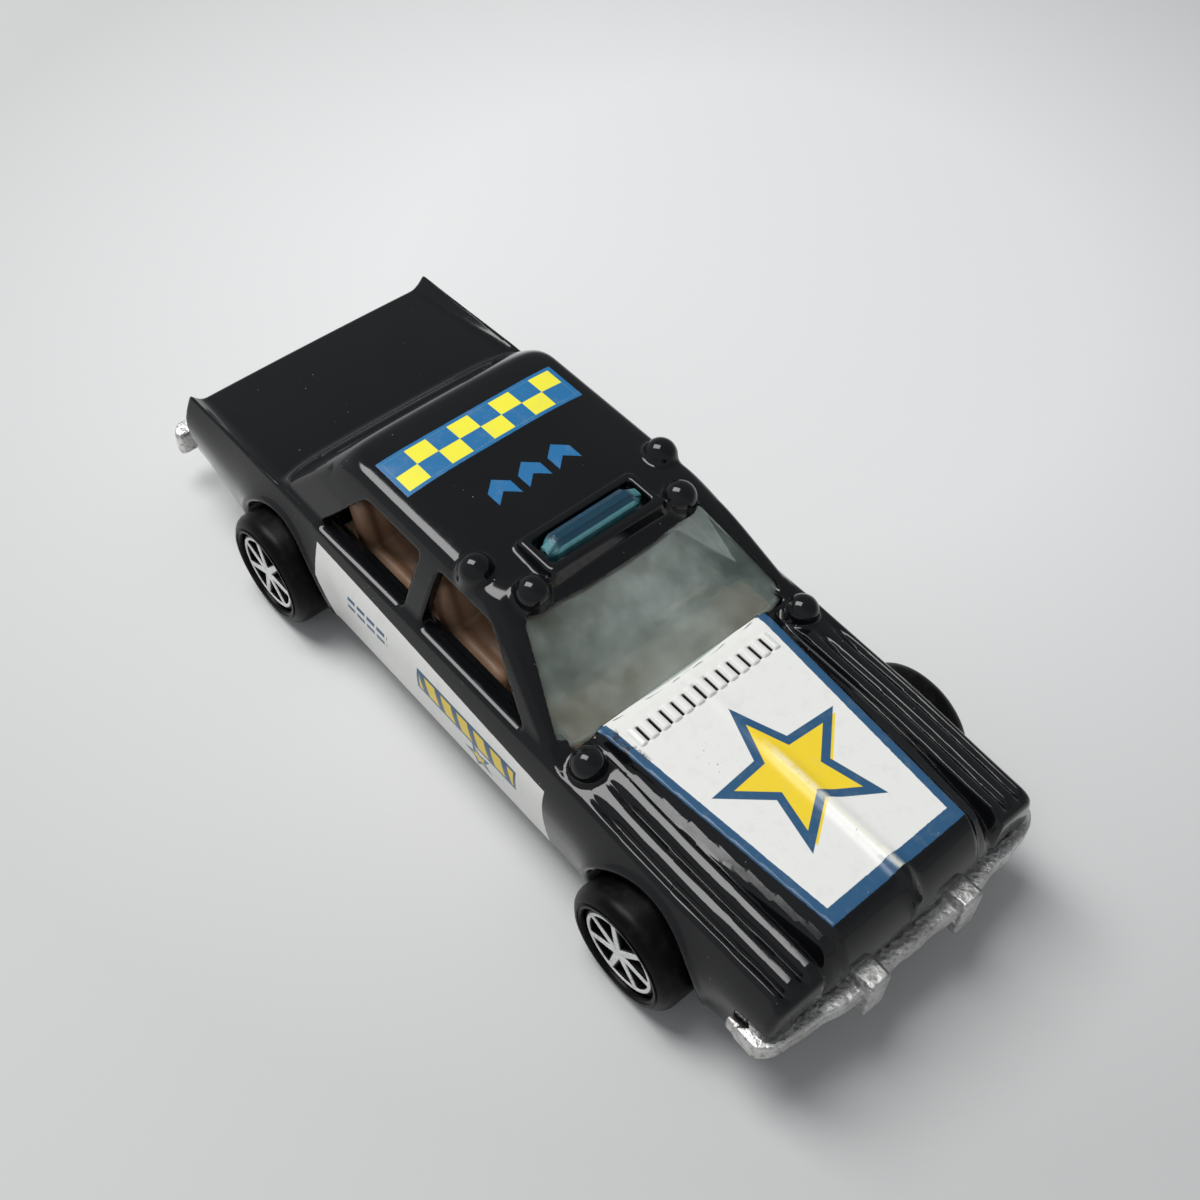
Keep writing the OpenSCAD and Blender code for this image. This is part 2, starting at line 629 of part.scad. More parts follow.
// Room for the front bumper in the lower corners of the nose
module bumper_notch() translate([0, 0, bumper_low_z - base_gap]) linear_extrude(front_bumper_h + 2*base_gap)
    polygon(bumper_outline(bumper_line(-front_bumper_t, base_gap),
                           bumper_line(front_bumper_t + base_gap, base_gap)));

module body_shell() color(enamel_colour) {
    difference() {
        union() {
            loft([for (k = [0:station_n]) ring(station(k))]);
            cabin_block(0);
            lamps();
            socket_frame();
        }
        cavity();
        wheel_arches();
        grille_opening();
        bumper_notch();
        screen_opening(0, -proud, through);
        backlight_opening(0, -proud, through);
        side_windows();
        lens_slot();
        cowl_vent();
    }
    post(front_post_x, hood_z - side_wall/2);
    post(rear_post_x, deck_z(rear_post_x) - side_wall/2);
}

// Base casting: floor with wheel notches, saddles, rests, grille and both bumpers
lap = 0.1;
base_top_z = base_z + base_t;
base_y = inner_w - base_gap;
base_front_x = nose_x - grille_depth + base_gap;
base_rear_x = tail_x + tail_bow + side_wall + base_gap;
notch_x = tyre_d/2 + wheel_gap;
base_end_y = well_y - base_gap;
function base_side(s) = [[base_rear_x, s*base_end_y], [rear_axle_x + notch_x, s*base_end_y],
    [rear_axle_x + notch_x, s*base_y], [front_axle_x - notch_x, s*base_y],
    [front_axle_x - notch_x, s*base_end_y], [base_front_x, s*base_end_y]];
module base_floor() translate([0, 0, base_z]) linear_extrude(base_t)
    polygon(concat(base_side(-1), reversed(base_side(1))));
saddle_r = axle_d/2 + saddle_wall;
module saddles() for (x = [front_axle_x, rear_axle_x], side = [-1, 1])
    translate([x, side*(base_end_y - lap - saddle_t/2), 0]) {
        block([-saddle_r, -saddle_t/2, base_z + lap], [saddle_r, saddle_t/2, axle_z]);
        translate([0, 0, axle_z]) rotate([90, 0, 0]) cylinder(r=saddle_r, h=saddle_t, center=true, $fn=48);
    }
module axle_bores() for (x = [front_axle_x, rear_axle_x])
    translate([x, 0, axle_z]) rotate([90, 0, 0])
        cylinder(r=axle_d/2 + axle_fit, h=body_w, center=true, $fn=48);
module post_bores() for (x = [front_post_x, rear_post_x]) translate([x, 0, below_z]) {
    cylinder(d=post_d + 2*post_gap, h=base_top_z - 2*below_z, $fn=48);
    cylinder(d=rivet_d + 2*post_gap, h=rivet_low_z + rivet_h - below_z, $fn=48);
}
rest_l = 1.6;
rest_w = 8;
rest_inset = 8;
module tub_rests() for (x = [tub_rear_x + rest_inset, tub_front_x - rest_inset])
    block([x - rest_l/2, -rest_w/2, base_z + lap], [x + rest_l/2, rest_w/2, floor_z]);

// Grille and headlamps in the nose opening
grille_t = 1;
grille_face_x = nose_x - grille_depth + base_gap + grille_t;
grille_y = grille_w/2 - base_gap;
bar_t = 0.5;
bar_reach = 0.5;
bezel = 0.6;
grille_high_z = grille_top_z - base_gap;
grille_room = grille_high_z - base_top_z;
module grille() {
    block([base_front_x - lap, -grille_y, base_z], [grille_face_x, grille_y, grille_high_z]);
    for (k = [0:grille_n - 1])
        translate([grille_face_x, 0, grille_high_z - grille_room*(k + 0.5)/grille_n])
            cube([2*bar_reach, headlamp_w - headlamp_d - 2*bezel, bar_t], center=true);
    for (side = [-1, 1])
        translate([grille_face_x - lap, side*headlamp_w/2, grille_high_z - grille_room/2])
            rotate([0, 90, 0]) cylinder(d=headlamp_d, h=bar_reach + 2*lap, $fn=48);
}

// Front bumper: straight between the overriders, swept towards the corners, wrapped round the sides
bumper_x = car_length/2 - overrider_reach;
corner_cut = 0.8;
function bumper_line(t, gap) = let (w = front_bumper_w/2 - t, x = bumper_x - t)
    [[x, overrider_w/2], [x - bumper_sweep, w - corner_cut], [x - bumper_sweep - corner_cut, w],
     [bumper_x - bumper_sweep - corner_cut - bumper_wrap - gap, w]];
function mirrored(points) = [for (p = points) [p[0], -p[1]]];
function reversed(points) = [for (k = [len(points) - 1:-1:0]) points[k]];
function bumper_outline(outer, inner) =
    concat(reversed(mirrored(outer)), outer, reversed(inner), mirrored(inner));
apron_t = 1.2;
apron_y = grille_y - 1;
apron_drop = 0.4;
apron_top_z = front_bumper_z - apron_drop;
bumper_low_z = front_bumper_z - front_bumper_h;
module apron(front_x, half_w) block([grille_face_x - lap, -half_w, apron_top_z - apron_t],
                                    [front_x, half_w, apron_top_z]);
module front_bumper() {
    translate([0, 0, bumper_low_z]) linear_extrude(front_bumper_h)
        polygon(bumper_outline(bumper_line(0, 0), bumper_line(front_bumper_t, 0)));
    apron(bumper_x - front_bumper_t/2 - bumper_sweep, apron_y);
    apron(bumper_x - front_bumper_t/2, overrider_w/2 - overrider_t);
    for (side = [-1, 1])
        translate([0, side*overrider_w/2, 0])
            block([bumper_x - front_bumper_t/2, -overrider_t/2, bumper_low_z - overrider_over],
                  [car_length/2, overrider_t/2, front_bumper_z + overrider_over]);
}
rear_bumper_x = -car_length/2;
rear_apron_drop = 1.3;
rear_apron_y = base_end_y - 1;
rear_apron_l = 1.5;
rear_apron_z = rear_bumper_z - rear_apron_drop;
module rear_bumper() {
    translate([rear_bumper_x, 0, rear_bumper_z - rear_bumper_h]) linear_extrude(rear_bumper_h)
        polygon([[0, corner_cut - rear_bumper_w/2], [corner_cut, -rear_bumper_w/2],
                 [rear_bumper_t, -rear_bumper_w/2], [rear_bumper_t, rear_bumper_w/2],
                 [corner_cut, rear_bumper_w/2], [0, rear_bumper_w/2 - corner_cut]]);
    block([rear_bumper_x + rear_bumper_t - lap, -rear_apron_y, rear_apron_z - apron_t],
          [base_rear_x + rear_apron_l, rear_apron_y, rear_apron_z]);
    block([base_rear_x, -rear_apron_y, base_z], [base_rear_x + rear_apron_l, rear_apron_y, rear_apron_z]);
}
module base_plate() color(zinc_colour) difference() {
    union() {
        base_floor();
        saddles();
        tub_rests();
        grille();
        front_bumper();
        rear_bumper();
    }
    axle_bores();
    post_bores();
}

// Clear moulding: windshield, roof pane and rear window in one piece
pane_out = 0.5;
pane_deep = roof_wall + glass_gap;
roof_pane_z = roof_edge_z - glass_gap - glass_t;
flange_low_z = belt_z - glass_gap;
module window_unit() color(clear_colour) {
    screen_opening(glass_gap, pane_out, pane_deep + lap);
    front_pane(flange_low_z, roof_pane_z + glass_t, cabin_y(flange_low_z) - pane_deep,
               cabin_y(roof_edge_z) - pane_deep, pane_deep, pane_deep + glass_t);
    backlight_opening(glass_gap, pane_out, pane_deep + lap);
    back_pane(flange_low_z, roof_pane_z + glass_t, backlight_w/2, backlight_w/2,
              pane_deep, pane_deep + glass_t);
    translate([0, 0, roof_pane_z - lap]) linear_extrude(glass_t)
        polygon(cabin_outline(roof_edge_z, pane_deep + lap));
}

// Light bar lens standing on the roof pane and showing through the socket
lens_foot_z = roof_pane_z + glass_t - lap;
lens_high_z = roof_edge_z + lens_top;
module lens_box(cut, high_z) block([lens_x - lens_w/2 + cut, -lens_l/2 + 2*cut, lens_foot_z],
                                   [lens_x + lens_w/2 - cut, lens_l/2 - 2*cut, high_z]);
module light_bar_lens() color(lens_colour) hull() {
    lens_box(0, lens_high_z - lens_bevel);
    lens_box(lens_bevel, lens_high_z);
}

// Seat moulding: tub with two bench seats, dashboard and steering wheel
tub_y = tub_room_y - tub_gap;
tub_wall = 0.7;
tub_front_x = room_front_x - tub_gap;
tub_rear_x = room_rear_x + tub_gap;
tub_drop = 0.5;
tub_top_z = belt_z - tub_drop;
seat_y = tub_y - tub_wall + lap;
seat_top_z = floor_z + floor_t + seat_h;
front_seat_back = 0.8;
rear_seat_back = 4.4;
front_seat_x = mid_pillar_front_x + front_seat_back;
rear_seat_x = rear_window_x + rear_seat_back;
channel_n = floor(2*seat_y/channel_pitch);
channel_steps = 3;
function channel(y) = channel_h*pow(abs(cos(180*y*channel_n/(2*seat_y))), 6);
seat_round = 0.7;
half_round = seat_round/2;
function seat_ring(x, y) = let (c = channel(y), r = seat_round)
    let (top = seat_top_z + back_h, head = x - back_rake)
    [[x - back_t, y, floor_z + lap], [head - back_t, y, top - r], [head - back_t + half_round, y, top - r/4],
     [head - back_t/2, y, top - c/2], [head - half_round, y, top - r/4 - c], [head - c, y, top - r],
     [x - c, y, seat_top_z + half_round - c], [x + half_round, y, seat_top_z - c],
     [x + seat_l - r, y, seat_top_z - c], [x + seat_l - c, y, seat_top_z - half_round],
     [x + seat_l - half_round, y, floor_z + lap]];
seat_rings = channel_n*channel_steps;
module bench(x) loft([for (k = [-seat_rings:seat_rings]) seat_ring(x, seat_y*k/seat_rings)]);

dash_x = tub_front_x - dash_l;
dash_z = belt_z - dash_drop;
dash_round = 0.5;
dash_h = 2.8;
module dash_bar(in_x, low, high) block([dash_x + in_x, -seat_y, dash_z - low],
                                       [tub_front_x, seat_y, dash_z - high]);
module dash() hull() {
    dash_bar(dash_round, dash_h, dash_h - thin);
    dash_bar(0, dash_h/2, dash_round);
    dash_bar(dash_round, thin, 0);
}
steer_steps = 16;
steer_tilt = 62;
steer_reach = 1.1;
steer_drop = 0.4;
steer_x = dash_x - steer_reach;
steer_z = dash_z - steer_drop;
function steer_point(a) = [0, steer_d/2*cos(a), steer_d/2*sin(a)];
module bead(p) translate(p) sphere(d=steer_t, $fn=8);
module steering() {
    translate([steer_x, steer_y, steer_z]) rotate([0, steer_tilt - 90, 0]) {
        for (k = [0:steer_steps - 1]) hull() {
            bead(steer_point(360*k/steer_steps));
            bead(steer_point(360*(k + 1)/steer_steps));
        }
        for (a = [0, 180, 270]) hull() {
            bead([0, 0, 0]);
            bead(steer_point(a));
        }
    }
    hull() {
        translate([steer_x, steer_y, steer_z]) sphere(d=2*steer_t, $fn=12);
        translate([dash_x + dash_l/2, steer_y, steer_z - steer_reach]) sphere(d=2*steer_t, $fn=12);
    }
}
module interior_tub() color(tan_colour) {
    block([tub_rear_x, -tub_y, floor_z], [tub_front_x, tub_y, floor_z + floor_t]);
    for (side = [-1, 1])
        block([tub_rear_x, side*(tub_y - tub_wall/2) - tub_wall/2, floor_z],
              [tub_front_x, side*(tub_y - tub_wall/2) + tub_wall/2, tub_top_z]);
    bench(front_seat_x);
    bench(rear_seat_x);
    dash();
    steering();
}

// Axle wire with upset ends
axle_end_y = wheel_outer_y - hub_cover - axle_play;
module axle(x) color(steel_colour) translate([x, 0, axle_z]) rotate([90, 0, 0]) {
    cylinder(d=axle_d, h=2*axle_end_y, center=true, $fn=48);
    for (side = [-1, 1]) translate([0, 0, side*(axle_end_y - axle_head_l/2)])
        cylinder(d=axle_head_d, h=axle_head_l, center=true, $fn=48);
}
module front_axle() axle(front_axle_x);
module rear_axle() axle(rear_axle_x);

// Wheel face pattern: ring, tapered spokes and hub
rim_r = rim_d/2;
groove_w = 0.35;
round_steps = 6;
module spokes() for (k = [0:spoke_n - 1]) rotate(360*k/spoke_n)
    polygon([[hub_r/2, -spoke_foot_w/2], [rim_r - rim_ring_w/2, -spoke_w/2],
             [rim_r - rim_ring_w/2, spoke_w/2], [hub_r/2, spoke_foot_w/2]]);
module face_windows() difference() {
    circle(r=rim_r - rim_ring_w, $fn=64);
    circle(r=hub_r, $fn=48);
    spokes();
}
function shoulder_arc(cx, cy, a0) = [for (k = [0:round_steps]) let (a = a0 + 90*k/round_steps)
    [cx + tyre_round*cos(a), cy + tyre_round*sin(a)]];
module wheel_form() difference() {
    rotate_extrude($fn=96) polygon(concat([[0, 0]],
        shoulder_arc(tyre_d/2 - tyre_round, tyre_round, -90),
        shoulder_arc(tyre_d/2 - tyre_round, tyre_w - tyre_round, 0),
        [[rim_r + groove_w, tyre_w], [rim_r + groove_w, tyre_w - face_depth], [0, tyre_w - face_depth]]));
    translate([0, 0, tyre_w - face_depth - spoke_depth]) linear_extrude(spoke_depth + 1) face_windows();
    translate([0, 0, -1]) cylinder(r=axle_d/2 + axle_fit, h=tyre_w - hub_cover + 1, $fn=48);
    translate([0, 0, tyre_w - hub_cover - axle_head_l - 2*axle_play])
        cylinder(r=axle_head_d/2 + axle_fit, h=axle_head_l + 2*axle_play, $fn=48);
}
module foil_form() translate([0, 0, tyre_w - face_depth]) linear_extrude(foil_t) difference() {
    circle(r=rim_r, $fn=64);
    face_windows();
}

// A wheel or foil stands on its axle with its face outwards, on the left or right side
module on_axle(x, side) translate([x, side*wheel_inner_y, axle_z]) rotate([-90*side, 0, 0]) children();
module front_left_wheel() color(tyre_colour) on_axle(front_axle_x, 1) wheel_form();
module front_right_wheel() color(tyre_colour) on_axle(front_axle_x, -1) wheel_form();
module rear_left_wheel() color(tyre_colour) on_axle(rear_axle_x, 1) wheel_form();
module rear_right_wheel() color(tyre_colour) on_axle(rear_axle_x, -1) wheel_form();
module front_left_wheel_foil() color(foil_colour) on_axle(front_axle_x, 1) foil_form();
module front_right_wheel_foil() color(foil_colour) on_axle(front_axle_x, -1) foil_form();
module rear_left_wheel_foil() color(foil_colour) on_axle(rear_axle_x, 1) foil_form();
module rear_right_wheel_foil() color(foil_colour) on_axle(rear_axle_x, -1) foil_form();

body_shell();
base_plate();
window_unit();
light_bar_lens();
interior_tub();
front_axle();
rear_axle();
front_left_wheel();
front_right_wheel();
rear_left_wheel();
rear_right_wheel();
front_left_wheel_foil();
front_right_wheel_foil();
rear_left_wheel_foil();
rear_right_wheel_foil();
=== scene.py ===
"""Looks of a small die-cast toy patrol car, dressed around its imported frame.

Sizes are millimetres in the car's own frame (+X front, +Y left, +Z up) and become metres
when a mesh is made. Castings are surfaces of a field, a formula that is negative inside the
metal; mouldings, wheels and panes are grids of two parameters or profiles turned and swept.
"""

import logging
import math
from dataclasses import dataclass
from enum import Enum
from typing import Callable, Sequence

import bpy
import numpy as np
from mathutils import Matrix, Vector


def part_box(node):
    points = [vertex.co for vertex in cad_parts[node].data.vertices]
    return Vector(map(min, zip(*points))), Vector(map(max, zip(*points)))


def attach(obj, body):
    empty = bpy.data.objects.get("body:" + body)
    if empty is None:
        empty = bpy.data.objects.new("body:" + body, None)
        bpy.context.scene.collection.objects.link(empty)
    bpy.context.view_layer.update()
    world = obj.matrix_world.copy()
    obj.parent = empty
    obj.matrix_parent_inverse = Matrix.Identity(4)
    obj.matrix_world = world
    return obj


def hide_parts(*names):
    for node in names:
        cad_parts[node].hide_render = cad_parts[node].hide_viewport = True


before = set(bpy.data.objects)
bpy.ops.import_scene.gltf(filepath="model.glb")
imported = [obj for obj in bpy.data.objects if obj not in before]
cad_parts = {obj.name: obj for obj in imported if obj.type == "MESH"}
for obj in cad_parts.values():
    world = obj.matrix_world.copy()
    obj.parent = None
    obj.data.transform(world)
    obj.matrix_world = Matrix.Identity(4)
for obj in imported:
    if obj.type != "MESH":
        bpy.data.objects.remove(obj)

LOG = logging.getLogger("toy_car")
METRE = 0.001
Array = np.ndarray
FieldFormula = Callable[[Array, Array, Array], Array]


class Side(Enum):
    """Side of the car, as the sign of Y."""

    LEFT = 1
    RIGHT = -1


def clip(t: Array) -> Array:
    """Limits values to the span from 0 to 1."""
    return np.clip(t, 0.0, 1.0)


def mix(a: Array, b: Array, t: Array) -> Array:
    """Goes from a to b as t goes from 0 to 1."""
    return a + (b - a) * t


def ease(t: Array) -> Array:
    """Smooth step: 3t² − 2t³ between 0 and 1."""
    c = clip(t)
    return c * c * (3.0 - 2.0 * c)


def rise(x: Array, start: float, end: float) -> Array:
    """Smooth step from 0 at start to 1 at end."""
    return ease((x - start) / (end - start))


def hill(d: Array, r: float) -> Array:
    """Bell curve exp(−d²/r²)."""
    return np.exp(-(d * d) / (r * r))


def cut(a: Array, b: Array, r: float) -> Array:
    """Larger of two fields, with the edge between them rounded over a radius of about r."""
    return np.maximum(a, b) + np.maximum(r - np.abs(a - b), 0.0) ** 2 / (4.0 * r)


def join(a: Array, b: Array, r: float) -> Array:
    """Smaller of two fields, with a fillet of about r between them."""
    return -cut(-a, -b, r)


def block(x: Array, y: Array, z: Array, low: Sequence[float], high: Sequence[float], r: float) -> Array:
    """Field of a box between two corners, with edges rounded over r.

    Args:
        x, y, z: Places, in mm.
        low: Lowest corner.
        high: Highest corner.
        r: Edge radius.

    Returns:
        Distance outside the box, negative inside.
    """
    spans = [np.maximum(a - q, p - a) for a, p, q in zip((x, y, z), low, high)]
    return cut(cut(spans[0], spans[1], r), spans[2], r)


def lumps(x: Array, y: Array, z: Array, pitch: float) -> Array:
    """Uneven swell of a sand-rough surface: three skewed sine products of unlike wavelengths.

    Args:
        x, y, z: Places, in mm.
        pitch: Mean spacing of the lumps.

    Returns:
        Height from −1 to 1.
    """
    k = 2.0 * math.pi / pitch
    first = np.sin(k * (x + 0.31 * y)) * np.sin(k * (0.93 * y - 0.27 * z)) * np.cos(k * (z + 0.4 * x))
    second = np.sin(1.7 * k * (0.8 * x - 0.6 * y)) * np.cos(1.6 * k * (0.7 * y + 0.7 * z))
    third = np.sin(2.9 * k * (0.5 * x + 0.8 * z)) * np.sin(2.7 * k * (y - 0.3 * x))
    return 0.5 * first + 0.3 * second + 0.2 * third


def mesh_from(name: str, points: Array, quads: Array, normals: Array | None = None) -> bpy.types.Object:
    """Puts arrays of points and faces into a smooth-shaded mesh object at the origin.

    Args:
        name: Name of the piece.
        points: One row of x, y, z per vertex, in mm.
        quads: One row of vertex numbers per face; a repeated last number makes a triangle.
        normals: Outward direction at each vertex, where the formula gives it.

    Returns:
        The new object, linked to the scene.
    """
    mesh = bpy.data.meshes.new(name)
    triangle = quads[:, 3] == quads[:, 2]
    faces = [tuple(q[:3]) if t else tuple(q) for q, t in zip(quads.tolist(), triangle.tolist())]
    mesh.from_pydata((np.asarray(points, float) * METRE).tolist(), [], faces)
    mesh.polygons.foreach_set("use_smooth", np.ones(len(mesh.polygons), bool))
    mesh.update()
    if normals is not None:
        mesh.normals_split_custom_set_from_vertices(normals.tolist())
    obj = bpy.data.objects.new(name, mesh)
    bpy.context.scene.collection.objects.link(obj)
    return obj


def grid_quads(rows: int, columns: int, wrap_rows: bool = False, wrap_columns: bool = False) -> Array:
    """Faces of a grid of points numbered row by row.

    Args:
        rows: Number of rows.
        columns: Number of points in a row.
        wrap_rows: Joins the last row to the first.
        wrap_columns: Joins the last point of a row to its first.

    Returns:
        One row of four point numbers per face.
    """
    i = np.arange(rows if wrap_rows else rows - 1)[:, None]
    j = np.arange(columns if wrap_columns else columns - 1)[None, :]
    ip = (i + 1) % rows
    jp = (j + 1) % columns
    corners = [i * columns + j, ip * columns + j, ip * columns + jp, i * columns + jp]
    return np.stack([c + 0 * i + 0 * j for c in corners], -1).reshape(-1, 4)


def slab(name: str, outer: Array, inner: Array) -> bpy.types.Object:
    """Closed piece between two sheets of the same grid, joined round their border.

    Args:
        name: Name of the piece.
        outer: Array of rows, columns, 3.
        inner: Array of the same shape.

    Returns:
        The new object.
    """
    rows, columns = outer.shape[:2]
    quads = grid_quads(rows, columns)
    number = np.arange(rows * columns).reshape(rows, columns)
    border = np.concatenate([number[0, :-1], number[:-1, -1], number[-1, :0:-1], number[:0:-1, 0]])
    following = np.roll(border, -1)
    shift = rows * columns
    rim = np.stack([border, following, following + shift, border + shift], -1)
    faces = np.concatenate([quads, quads[:, ::-1] + shift, rim])
    obj = mesh_from(name, np.concatenate([outer.reshape(-1, 3), inner.reshape(-1, 3)]), faces)
    outward(obj)
    return obj


def cap_quads(ring: Array, centre: int) -> Array:
    """Triangles, as quads with a doubled corner, from a closed ring of point numbers to a centre point."""
    following = np.roll(ring, -1)
    middle = np.full_like(ring, centre)
    return np.stack([ring, following, middle, middle], -1)


@dataclass
class FieldMesher:
    """Turns a field into a closed surface by naive surface nets with a few Newton steps.

    Each cell that the surface crosses gets one point, the mean of its edge crossings, which then
    slides down the field's gradient on to the surface. Each grid edge that the surface crosses
    gets one face between the four cells round it.
    """

    low: Sequence[float]
    high: Sequence[float]
    step: float
    newton_steps: int = 3
    probe: float = 0.02

    def axes(self) -> list[Array]:
        """Sample places along X, Y and Z."""
        return [np.arange(a, b + self.step, self.step) for a, b in zip(self.low, self.high)]

    def gradient(self, formula: FieldFormula, p: Array) -> Array:
        """Central differences of the field at scattered points.

        Args:
            formula: The field.
            p: One row of x, y, z per point.

        Returns:
            One gradient per point.
        """
        columns = []
        for axis in range(3):
            d = np.zeros(3)
            d[axis] = self.probe
            ahead, behind = p + d, p - d
            columns.append(formula(*ahead.T) - formula(*behind.T))
        return np.stack(columns, -1) / (2.0 * self.probe)

    def run(self, formula: FieldFormula) -> tuple[Array, Array, Array]:
        """Meshes the field's zero surface.

        Args:
            formula: Field of x, y, z in mm, negative inside.

        Returns:
            Points, quads and outward normals.
        """
        ax, ay, az = self.axes()
        value = formula(ax[:, None, None], ay[None, :, None], az[None, None, :])
        value = np.ascontiguousarray(np.broadcast_to(value, (len(ax), len(ay), len(az))))
        inside = value < 0.0
        steps = np.array([(i, j, k) for i in (0, 1) for j in (0, 1) for k in (0, 1)])
        count = sum(inside[i:len(ax) - 1 + i, j:len(ay) - 1 + j, k:len(az) - 1 + k].astype(np.int8)
                    for i, j, k in steps)
        active = (count > 0) & (count < 8)
        cells = np.argwhere(active)
        number = np.full(active.shape, -1)
        number[active] = np.arange(len(cells))
        total = np.zeros((len(cells), 3))
        hits = np.zeros(len(cells))
        for a in steps:
            for b in steps:
                if (b - a).sum() == 1 and np.abs(b - a).sum() == 1:
                    va = value[tuple((cells + a).T)]
                    vb = value[tuple((cells + b).T)]
                    crossed = (va < 0) != (vb < 0)
                    t = np.where(crossed, va / np.where(crossed, va - vb, 1.0), 0.0)
                    total += np.where(crossed[:, None], a + t[:, None] * (b - a), 0.0)
                    hits += crossed
        points = np.asarray(self.low) + self.step * (cells + total / hits[:, None])
        for _ in range(self.newton_steps):
            g = self.gradient(formula, points)
            shift = formula(*points.T)[:, None] * g / np.maximum((g * g).sum(1), 0.05)[:, None]
            points -= np.clip(shift, -0.4 * self.step, 0.4 * self.step)
        g = self.gradient(formula, points)
        normals = g / np.maximum(np.linalg.norm(g, axis=1), 1e-9)[:, None]
        return points, self.faces(inside, number), normals

    def faces(self, inside: Array, number: Array) -> Array:
        """Quads round every crossed grid edge, turned so that they face outwards.

        Args:
            inside: Which samples are inside.
            number: Point number of each cell, or −1.

        Returns:
            One row of four point numbers per face.
        """
        made = []
        for axis in range(3):
            order = (axis, (axis + 1) % 3, (axis + 2) % 3)
            grid = np.transpose(inside, order)
            cell = np.transpose(number, order)
            crossed = grid[:-1, 1:-1, 1:-1] != grid[1:, 1:-1, 1:-1]
            i, j, k = np.nonzero(crossed)
            quad = np.stack([cell[i, j, k], cell[i, j + 1, k], cell[i, j + 1, k + 1], cell[i, j, k + 1]], -1)
            outward = grid[:-1, 1:-1, 1:-1][i, j, k]
            quad[~outward] = quad[~outward][:, ::-1]
            made.append(quad)
        return np.concatenate(made)

    def thin(self, obj: bpy.types.Object, formula: FieldFormula, triangles: int) -> None:
        """Collapses flat stretches of a mesh and takes the normals of what is left from the field.

        Args:
            obj: A piece made from the field.
            formula: The field.
            triangles: About how many triangles stay.
        """
        collapse = obj.modifiers.new("thin", "DECIMATE")
        collapse.ratio = min(1.0, triangles / (2.0 * len(obj.data.polygons)))
        mesh = bpy.data.meshes.new_from_object(obj.evaluated_get(bpy.context.evaluated_depsgraph_get()))
        obj.modifiers.clear()
        dense, obj.data = obj.data, mesh
        bpy.data.meshes.remove(dense)
        mesh.name = obj.name
        co = np.zeros(len(mesh.vertices) * 3)
        mesh.vertices.foreach_get("co", co)
        g = self.gradient(formula, co.reshape(-1, 3) / METRE)
        normals = g / np.maximum(np.linalg.norm(g, axis=1), 1e-9)[:, None]
        mesh.polygons.foreach_set("use_smooth", np.ones(len(mesh.polygons), bool))
        mesh.normals_split_custom_set_from_vertices(normals.tolist())


class Value:
    """One number socket of a material's node graph, with arithmetic that adds Math nodes."""

    def __init__(self, graph: "Graph", socket: bpy.types.NodeSocket) -> None:
        """Wraps a socket of a graph."""
        self.graph = graph
        self.socket = socket

    def __add__(self, other: "Value | float") -> "Value":
        """Sum."""
        return self.graph.math("ADD", self, other)

    def __sub__(self, other: "Value | float") -> "Value":
        """Difference."""
        return self.graph.math("SUBTRACT", self, other)

    def __rsub__(self, other: "Value | float") -> "Value":
        """Difference from a number."""
        return self.graph.math("SUBTRACT", other, self)

    def __mul__(self, other: "Value | float") -> "Value":
        """Product."""
        return self.graph.math("MULTIPLY", self, other)

    def __truediv__(self, other: "Value | float") -> "Value":
        """Quotient."""
        return self.graph.math("DIVIDE", self, other)

    def __rtruediv__(self, other: "Value | float") -> "Value":
        """Quotient of a number."""
        return self.graph.math("DIVIDE", other, self)

    def __abs__(self) -> "Value":
        """Size without sign."""
        return self.graph.math("ABSOLUTE", self)

    def least(self, other: "Value | float") -> "Value":
        """Smaller of two values."""
        return self.graph.math("MINIMUM", self, other)

    def most(self, other: "Value | float") -> "Value":
        """Larger of two values."""
        return self.graph.math("MAXIMUM", self, other)

    def mod(self, other: float) -> "Value":
        """Remainder, never negative."""
        return self.graph.math("FLOORED_MODULO", self, other)

    def floor(self) -> "Value":
        """Next whole number below."""
        return self.graph.math("FLOOR", self)

    def over(self, edge: "Value | float", soft: float = 0.04) -> "Value":
        """Mask that is 1 where the value is above an edge, with a soft step of the given width."""
        return self.graph.math("ADD", (self - edge) / soft, 0.5, clamp=True)

    def under(self, edge: "Value | float", soft: float = 0.04) -> "Value":
        """Mask that is 1 where the value is below an edge."""
        return 1.0 - self.over(edge, soft)

    __radd__ = __add__
    __rmul__ = __mul__


Triple = tuple[float, float, float]
Colour = Triple


